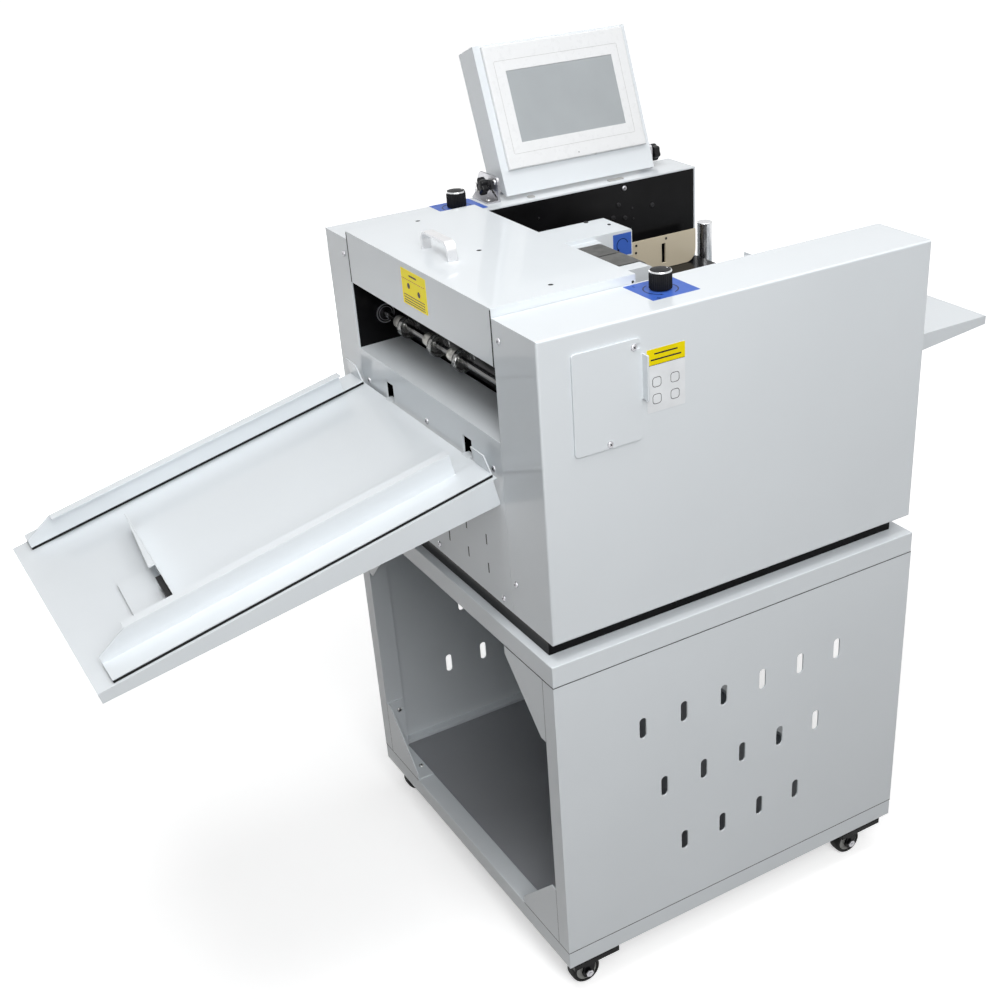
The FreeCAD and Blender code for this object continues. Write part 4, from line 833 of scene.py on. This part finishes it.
class MACHINE_OT_labels(bpy.types.Operator):
    """Sticks plain labels where the machine carries them: three blue, one yellow, one white"""

    bl_idname = "machine.labels"
    bl_label = "Stick labels"

    def execute(self, context):
        self.knob_label("near", (177.6, 151.5, 232.5, 209.5))
        self.knob_label("far", (-236.3, 139.0, -183.0, 194.0))
        self.flange_label()
        self.side_label()
        self.head_label()
        return {"FINISHED"}

    def knob_label(self, name, edges):
        """A blue label with two turning arcs round its knob, a minus and a plus."""
        form = Form()
        form.pad(COVER_TOP, edges, 1.0, -FILM, FILM)
        centre = KNOB_PLACES[name]
        sweep = 125.0
        for start in (20.0, 200.0):
            form.arc(COVER_TOP, centre, 17.2, 1.4, start, start + sweep, FILM, INK, 1)
            self.arrow(form, COVER_TOP, centre, 17.75, start + sweep)
        reach, half = (2.6, 0.45)
        apart, below = (22.5, 18.0)
        plus_x = centre[0] + apart
        y = centre[1] - below
        for x in (centre[0] - apart, plus_x):
            form.pad(COVER_TOP, around(x, y, reach, half), 0.3, FILM, INK, 1)
        form.pad(COVER_TOP, around(plus_x, y, half, reach), 0.3, FILM, 1.25 * FILM, 1)
        form.make("knob_label_" + name, "machine", ["blue_film", "dark_blue_ink"])

    def arrow(self, form, face, centre, radius, angle):
        """An arrowhead at the end of a turning arc."""
        turn = math.radians(angle)
        side = Vector((math.cos(turn), math.sin(turn)))
        ahead = Vector((-math.sin(turn), math.cos(turn)))
        base = Vector(centre) + side * radius
        corners = (base + ahead * 3.4, base + side * 1.8, base - side * 1.8)
        form.slab(face, [tuple(corner) for corner in corners], FILM, INK, 1)

    def flange_label(self):
        """A plain yellow label with ruled fields and two round marks."""
        form = Form()
        front = box_of("top_cover")[0][1]
        face = Face(Vector((SHEET_X, front, 0)), X_AXIS, Z_AXIS)
        form.pad(face, (-28.5, 803.4, 31.0, 843.2), 1.0, -FILM, FILM)
        mark = [(3.3, 0.0), (3.3, 0.3 * FILM), (2.4, 0.4 * FILM)]
        for x, z in ((-11.8, 825.7), (12.4, 821.5)):
            form.turned(face.point(x, z, FILM), face.out, mark, 1, 32)
        rules = [(837.6, 9.0, 1.0), (832.3, 27.5, 0.22)]
        rules += [(z, 25.0, 0.5) for z in (814.4, 811.4, 808.4, 805.8)]
        for z, reach, half in rules:
            form.pad(face, around(0.0, z, reach, half), 0.2, FILM, INK, 1)
        form.make("flange_label", "top_cover", ["bright_yellow_film", "ink"])

    def side_label(self):
        """A white label with a yellow band and four plain outlines."""
        form = Form()
        y0, y1, z0, z1 = (124.0, 170.4, 736.0, 803.0)
        band_z = 786.0
        form.pad(NEAR_SIDE, (y0, z0, y1, z1), 1.0, -FILM, FILM)
        form.pad(NEAR_SIDE, (y0, band_z, y1, z1), 1.0, FILM, 1.2 * FILM, 1)
        middle = (y0 + y1) / 2
        for z, reach, half in ((797.5, 14.0, 0.8), (791.5, 18.5, 0.8), (band_z, 23.2, 0.25)):
            form.pad(NEAR_SIDE, around(middle, z, reach, half), 0.2, FILM, 1.5 * FILM, 2)
        half = 5.4
        for y in (135.8, 157.8):
            for z in (767.6, 749.6):
                form.border(NEAR_SIDE, around(y, z, half, half), 0.6, (3.2, 2.8), FILM, INK, 2)
        form.make("side_label", "machine", ["white_film", "yellow_film", "ink"])

    def head_label(self):
        """The blue label with one turning arc on the feed head's case, and the case's two screws."""
        form = Form()
        face = Face(at(-53.5, 0, 0), Y_AXIS, Z_AXIS)
        form.pad(face, (290.4, 788.5, 316.6, 815.6), 0.8, -FILM, FILM)
        centre = (303.5, 801.5)
        end = 215.0
        form.arc(face, centre, 7.4, 0.9, 15.0, end, FILM, INK, 1)
        self.arrow(form, face, centre, 7.85, end)
        form.make("head_label", "machine", ["blue_film", "dark_blue_ink"])
        screw = Form()
        pan_screw(screw, at(-110.7, 288.7, 819.4), Z_AXIS, 3.0, 1.3, recess=0)
        pan_screw(screw, at(-84.0, 305.0, 819.4), Z_AXIS, 2.2, 1.0, recess=0)
        screw.make("head_screws", "machine", ["black_oxide"])


class MACHINE_OT_feed_fittings(bpy.types.Operator):
    """Fits the side guides' screws and the top cover's studs, and puts dark strips and plugs as painted
    shade in the feed belts' gaps and the top cover's holes
    """

    bl_idname = "machine.feed_fittings"
    bl_label = "Fit feed and cover details"

    def execute(self, context):
        for name, face_x, sense in (("far", -155.5, 1), ("near", 155.5, -1)):
            form = Form()
            face = Face(at(face_x, 0, 0), Y_AXIS * sense, Z_AXIS)
            for y, z in ((391.6, 759.8), (438.8, 760.7), (391.0, 750.3)):
                socket_screw(form, face.point(sense * y, z), face.out, 1.7, 0.4)
            form.make("guide_screws_" + name, "side_guide_" + name, ["black_oxide"])
        self.belt_joints()
        self.cover_plugs()
        return {"FINISHED"}

    def belt_joints(self):
        """Dark strips that fill the gap between the feed belts and beside the near belt: painted shade
        for the shadow in these gaps.
        """
        form = Form()
        low, high = box_of("feed_belts")
        face = Face(Vector((0, 0, high[2])), X_AXIS, Y_AXIS)
        half = 1.2
        bend = 16.0
        beside = 0.8
        for x in ((low[0] + high[0]) / 2, high[0] + beside):
            edges = (x - half, low[1] + bend, x + half, high[1] - bend)
            form.pad(face, edges, 0.4, -2.0, 0.12)
        form.make("belt_joints", "machine", ["rubber"])

    def cover_plugs(self):
        """Three dark plugs in the top cover's holes, painted shade for the holes' shaded insides, and a
        stud on each of its sides.
        """
        form = Form()
        plug = [(2.95, -2.6), (2.95, -0.5), (2.7, -0.2), (1.2, 0.0)]
        for x in (147.6, -4.5, -155.4):
            form.turned(at(x, 84.6, 849.9), Z_AXIS, plug, 0, 28)
        stud = [(1.5, -0.5), (1.5, 0.1), (0.8, 0.2)]
        for side in (-1, 1):
            form.turned(at(173.65 * side, 166.7, 842.0), X_AXIS * side, stud, 0, 20)
        form.make("cover_plugs", "top_cover", ["rubber"])


class MACHINE_OT_tray_fittings(bpy.types.Operator):
    """Makes the paper stop with its magnet pad and block"""

    bl_idname = "machine.tray_fittings"
    bl_label = "Make paper stop"

    def execute(self, context):
        form = Form()
        face = TRAY.tilted(12.5, -335.0, -3.0)
        half = 105.0
        foot = -42.0
        self.plate(form, face, (-half, 0.0, half, 1.5), 0.2, 24.2, 0)
        self.plate(form, face, (-10.0, foot, half, 1.5), 2.2, 3.7, 0)
        lip = [(-half, 0.0), (25.0, 0.0), (25.0, -7.0)]
        form.slab(face, lip, 22.7, 24.2, 0)
        self.plate(form, face, (-10.0, foot, half, -0.2), 0.2, 2.2, 1)
        self.plate(form, face, (40.0, -6.0, half, 0.0), 3.7, 18.7, 2)
        finishes = ["white_paint", "rubber", "black_plastic"]
        form.make("paper_stop_fitted", "paper_stop", finishes, ["paper_stop"], edge=0.3)
        return {"FINISHED"}

    def plate(self, form, face, edges, low, high, finish):
        """A square-cornered plate on the tray."""
        x0, y0, x1, y1 = edges
        form.slab(face, [(x0, y0), (x1, y0), (x1, y1), (x0, y1)], low, high, finish)


class MACHINE_OT_screen(bpy.types.Operator):
    """Finishes the display, and fits the bezel's line, the bracket's screws and the cable clips"""

    bl_idname = "machine.screen"
    bl_label = "Finish screen"

    def execute(self, context):
        dress("screen_glass", "display", 0.2)
        dress("screen_bracket", "zinc", 0.3)
        self.bezel_line()
        self.bracket_details()
        self.cable_clips()
        return {"FINISHED"}

    def bezel_line(self):
        """A fine moulded line round the display and a dark sensor dot below it."""
        form = Form()
        top = 5.0
        edges = (245.5, 17.5, 424.5, 129.0)
        form.border(SCREEN, edges, 0.3, (2.0, 1.6), top - 0.1, top + 0.1)
        dot = [(0.7, -0.1), (0.7, 0.1), (0.4, 0.15)]
        form.turned(SCREEN.point(336.0, 6.0, top), SCREEN.out, dot, 1, 20)
        form.make("bezel_line", "screen", ["grey_plastic", "black_plastic"])

    def bracket_details(self):
        """The front ear's screw, a dark pad in a steel rim for its slanted adjusting slot, painted
        shade for the slot's inside, and the foot's screw.
        """
        form = Form()
        ear_y = 214.5
        pan_screw(form, at(-201.7, ear_y, 863.8), -Y_AXIS, 3.2, 1.6, 2)
        pan_screw(form, at(-205.2, 206.5, 842.5), Z_AXIS, 2.8, 1.2, 2)
        slot = Face(at(0, ear_y, 0), X_AXIS, Z_AXIS).tilted(-203.8, 849.4, -27.0)
        # Painted shade: the dark pad stands in for the shaded inside of the slot.
        form.pad(slot, around(0.0, 0.0, 7.0, 1.6), 1.55, -0.1, 0.08, 1)
        form.border(slot, around(0.0, 0.0, 7.6, 2.2), 0.6, (2.15, 1.55), -0.1, 0.35)
        form.make("bracket_details", "machine", ["zinc", "black_oxide", "steel"])

    def cable_clips(self):
        """Two low clips on the far cover, below the screen."""
        form = Form()
        for y0, y1, high in ((253.0, 262.0, 1.4), (372.0, 395.0, 1.2)):
            form.pad(COVER_TOP, (-192.0, y0, -184.5, y1), 2.0, 0.0, high)
        form.make("cable_clips", "machine", ["grey_plastic"], edge=0.3)


class MACHINE_OT_casters(bpy.types.Operator):
    """Makes the caster wheels with a tyre, a hub and an axle bolt"""

    bl_idname = "machine.casters"
    bl_label = "Make caster wheels"

    def execute(self, context):
        for end in ("front", "rear"):
            for side in ("near", "far"):
                centre = self.wheel(end + "_" + side)
                self.bolt(end + "_" + side, centre)
        return {"FINISHED"}

    def wheel(self, name):
        """A rounded tyre on a dished hub, as shares of the wheel's radius and half its width."""
        node = "caster_wheel_" + name
        low, high = box_of(node)
        centre = (low + high) / 2
        rim = (high[2] - low[2]) / 2
        half = (high[0] - low[0]) / 2
        tyre = [(0.74, 0.86), (0.8, 1.0), (0.9, 1.0), (0.97, 0.82), (1.0, 0.45)]
        hub = [(0.3, 0.95), (0.36, 0.95), (0.4, 0.6), (0.68, 0.55), (0.74, 0.86)]
        form = Form()
        form.turned(centre, X_AXIS, self.both_sides(tyre, rim, half), 0, 64, capped=False)
        form.turned(centre, X_AXIS, self.both_sides(hub, rim, half), 1, 48)
        form.make(node + "_tyred", "wheel_" + name, ["rubber", "grey_plastic"], [node])
        return centre

    def both_sides(self, profile, rim, half):
        """A profile given for one side of the wheel, from one side to the other."""
        left = [(radius * rim, -height * half) for radius, height in profile]
        right = [(radius * rim, height * half) for radius, height in reversed(profile)]
        return left + right

    def bolt(self, name, centre):
        """A six-sided nut on each outer face of the fork."""
        form = Form()
        low, high = box_of("caster_fork_" + name)
        nut = [(5.2, -0.1), (5.2, 1.5), (4.4, 1.9), (2.4, 1.9), (2.2, 2.7)]
        for x, axis in ((low[0], -X_AXIS), (high[0], X_AXIS)):
            form.turned(Vector((x, centre[1], centre[2])), axis, nut, 0, 6)
        form.make("caster_bolt_" + name, "caster_" + name, ["zinc"], smooth=20.0)


class MACHINE_OT_power_inlet(bpy.types.Operator):
    """Fits the inlet's two screws and the two plain marks of the rocker switch"""

    bl_idname = "machine.power_inlet"
    bl_label = "Fit power inlet"

    def execute(self, context):
        form = Form()
        low, high = box_of("power_inlet")
        middle = (low[0] + high[0]) / 2
        inset = 3.0
        for z in (low[2] + inset, high[2] - inset):
            pan_screw(form, Vector((middle, high[1], z)), Y_AXIS, 2.2, 1.0)
        form.make("inlet_screws", "machine", ["zinc", "black_oxide"])
        self.rocker_marks()
        return {"FINISHED"}

    def rocker_marks(self):
        """A bar on the rocker's upper half and a ring on its lower half."""
        form = Form()
        low, high = box_of("power_switch")
        middle = (low + high) / 2
        dished = 0.75
        proud = 0.3
        face = Face(Vector((middle[0], high[1] - dished, middle[2])), -X_AXIS, Z_AXIS)
        form.pad(face, (-0.5, 3.2, 0.5, 7.2), 0.4, -proud, proud)
        form.ring(face.point(0.0, -5.2), face.out, 1.3, 2.1, -proud, proud, 0, 28)
        form.make("rocker_marks", "power_switch", ["white_plastic"])


CAMERA_PLACE = (1.3492, -0.7353, 1.2987)
CAMERA_TURN = math.radians(60.056)
CAMERA_RISE = math.radians(29.603)
CAMERA_ROLL = math.radians(-3.113)
CAMERA_SHIFT = (-0.0631, 0.0710)
FLOOR_REACH = 14.0
WHITE = (1.0, 1.0, 1.0, 1.0)


class MACHINE_OT_stage(bpy.types.Operator):
    """Sets the floor, the soft light, the white surroundings and the camera"""

    bl_idname = "machine.stage"
    bl_label = "Set stage"

    def execute(self, context):
        settings = context.scene.machine_stage
        self.floor(settings)
        self.surroundings(context.scene, settings)
        centre = at(0, 200, 450)
        self.lamp("ceiling", at(350, 200, 3000), centre, 2.4, settings)
        self.lamp("side", at(1900, -400, 1850), at(250, 200, 700), 1.5, settings)
        self.lamp("front", at(350, -600, 3000), centre, 0.9, settings)
        self.lamp("far", at(-2700, 0, 650), centre, 1.1, settings)
        self.lamp("back", at(700, 1700, 3200), centre, 1.8, settings)
        self.camera(context.scene, settings)
        context.scene.view_settings.view_transform = "Standard"
        return {"FINISHED"}

    def shown_or_lit(self, tree, lit, shown, output):
        """One shader for the eye, also in mirrors and through glass, and another for the light."""
        path = add_node(tree, "LightPath", {}).node
        seen = path.outputs["Is Camera Ray"]
        for ray in ("Is Glossy Ray", "Is Transmission Ray"):
            seen = add_node(tree, "Math", {0: seen, 1: path.outputs[ray]}, operation="MAXIMUM")
        add_node(tree, output, {"Surface": add_node(tree, "MixShader", {0: seen, 1: lit, 2: shown})})

    def floor(self, settings):
        """A pale floor that turns to white away from the machine and keeps its shadow."""
        work = bmesh.new()
        bmesh.ops.create_grid(work, x_segments=8, y_segments=8, size=FLOOR_REACH)
        mesh = bpy.data.meshes.new("floor")
        work.to_mesh(mesh)
        work.free()
        piece = bpy.data.objects.new("floor", mesh)
        bpy.context.scene.collection.objects.link(piece)
        material = bpy.data.materials.new("studio_floor")
        material.use_nodes = True
        tree = material.node_tree
        tree.nodes.clear()
        where = add_node(tree, "TexCoord", {}, "Object")
        away = add_node(tree, "VectorMath", {0: where}, "Value", operation="LENGTH")
        inputs = {"Value": away, "From Min": 0.5, "From Max": 2.4, "To Min": 0.5, "To Max": 1.0}
        glow = add_node(tree, "MapRange", inputs, interpolation_type="SMOOTHSTEP")
        light = add_node(tree, "Emission", {"Strength": glow})
        tone = settings.floor_tone
        pale = add_node(tree, "BsdfDiffuse", {"Color": (tone, tone, tone, 1.0)})
        shown = add_node(tree, "AddShader", {0: pale, 1: light})
        dim = tone * 0.06
        lit = add_node(tree, "BsdfDiffuse", {"Color": (dim, dim, dim, 1.0)})
        self.shown_or_lit(tree, lit, shown, "OutputMaterial")
        mesh.materials.append(material)

    def surroundings(self, scene, settings):
        """White to the eye, and a soft room light that is stronger overhead."""
        world = bpy.data.worlds.new("studio")
        scene.world = world
        world.use_nodes = True
        tree = world.node_tree
        tree.nodes.clear()
        where = add_node(tree, "TexCoord", {}, "Generated")
        height = add_node(tree, "SeparateXYZ", {0: where}, "Z")
        inputs = {"Value": height, "To Min": settings.horizon_light, "To Max": settings.room_light}
        strength = add_node(tree, "MapRange", inputs)
        room = add_node(tree, "Background", {"Color": WHITE, "Strength": strength})
        white = add_node(tree, "Background", {"Color": WHITE})
        self.shown_or_lit(tree, room, white, "OutputWorld")

    def lamp(self, name, place, aim, width, settings):
        """A square lamp, its width in metres, that faces a point."""
        light = bpy.data.lights.new(name + "_light", "AREA")
        light.shape = "SQUARE"
        light.size = width
        light.energy = getattr(settings, name + "_power")
        lamp = bpy.data.objects.new(name + "_light", light)
        lamp.location = place * MM
        lamp.rotation_euler = (aim - place).to_track_quat("-Z", "Y").to_euler()
        bpy.context.scene.collection.objects.link(lamp)

    def camera(self, scene, settings):
        """The photograph's own viewpoint, slightly rolled, with the frame shifted."""
        level = math.cos(CAMERA_RISE)
        turn_x, turn_y = math.sin(CAMERA_TURN), -math.cos(CAMERA_TURN)
        back = Vector((turn_x * level, turn_y * level, math.sin(CAMERA_RISE)))
        right = Vector((-turn_y, turn_x, 0))
        up = back.cross(right)
        facing = Matrix((right, up, back)).transposed().to_4x4()
        data = bpy.data.cameras.new("camera")
        data.lens = settings.lens
        data.sensor_width = 36.0
        data.shift_x, data.shift_y = CAMERA_SHIFT
        camera = bpy.data.objects.new("camera", data)
        place = Matrix.Translation(Vector(CAMERA_PLACE))
        camera.matrix_world = place @ facing @ Matrix.Rotation(CAMERA_ROLL, 4, "Z")
        scene.collection.objects.link(camera)
        scene.camera = camera


class MACHINE_PT_panel(bpy.types.Panel):
    """Lists the machine's steps and settings"""

    bl_label = "Die cutting machine"
    bl_idname = "MACHINE_PT_panel"
    bl_space_type = "VIEW_3D"
    bl_region_type = "UI"
    bl_category = "Machine"

    def draw(self, context):
        for step in STEPS:
            self.layout.operator(step.bl_idname)
        for group in SETTINGS:
            box = self.layout.box()
            for key in SETTINGS[group].__annotations__:
                box.prop(getattr(context.scene, group), key)


SETTINGS = {
    "machine_finishes": MachineFinishes,
    "machine_sizes": MachineSizes,
    "machine_stage": MachineStage,
}
STEPS = (
    MACHINE_OT_finishes,
    MACHINE_OT_sheet_metal,
    MACHINE_OT_machine_parts,
    MACHINE_OT_screws,
    MACHINE_OT_delivery_rollers,
    MACHINE_OT_knobs,
    MACHINE_OT_labels,
    MACHINE_OT_feed_fittings,
    MACHINE_OT_tray_fittings,
    MACHINE_OT_screen,
    MACHINE_OT_casters,
    MACHINE_OT_power_inlet,
    MACHINE_OT_stage,
)


def register():
    for cls in (*SETTINGS.values(), *STEPS, MACHINE_PT_panel):
        bpy.utils.register_class(cls)
    for name, cls in SETTINGS.items():
        setattr(bpy.types.Scene, name, PointerProperty(type=cls))


def unregister():
    for name in SETTINGS:
        delattr(bpy.types.Scene, name)
    for cls in (MACHINE_PT_panel, *reversed(STEPS), *reversed(SETTINGS.values())):
        bpy.utils.unregister_class(cls)


def main():
    register()
    for step in STEPS:
        group, name = step.bl_idname.split(".")
        getattr(getattr(bpy.ops, group), name)()


if __name__ == "__main__":
    main()
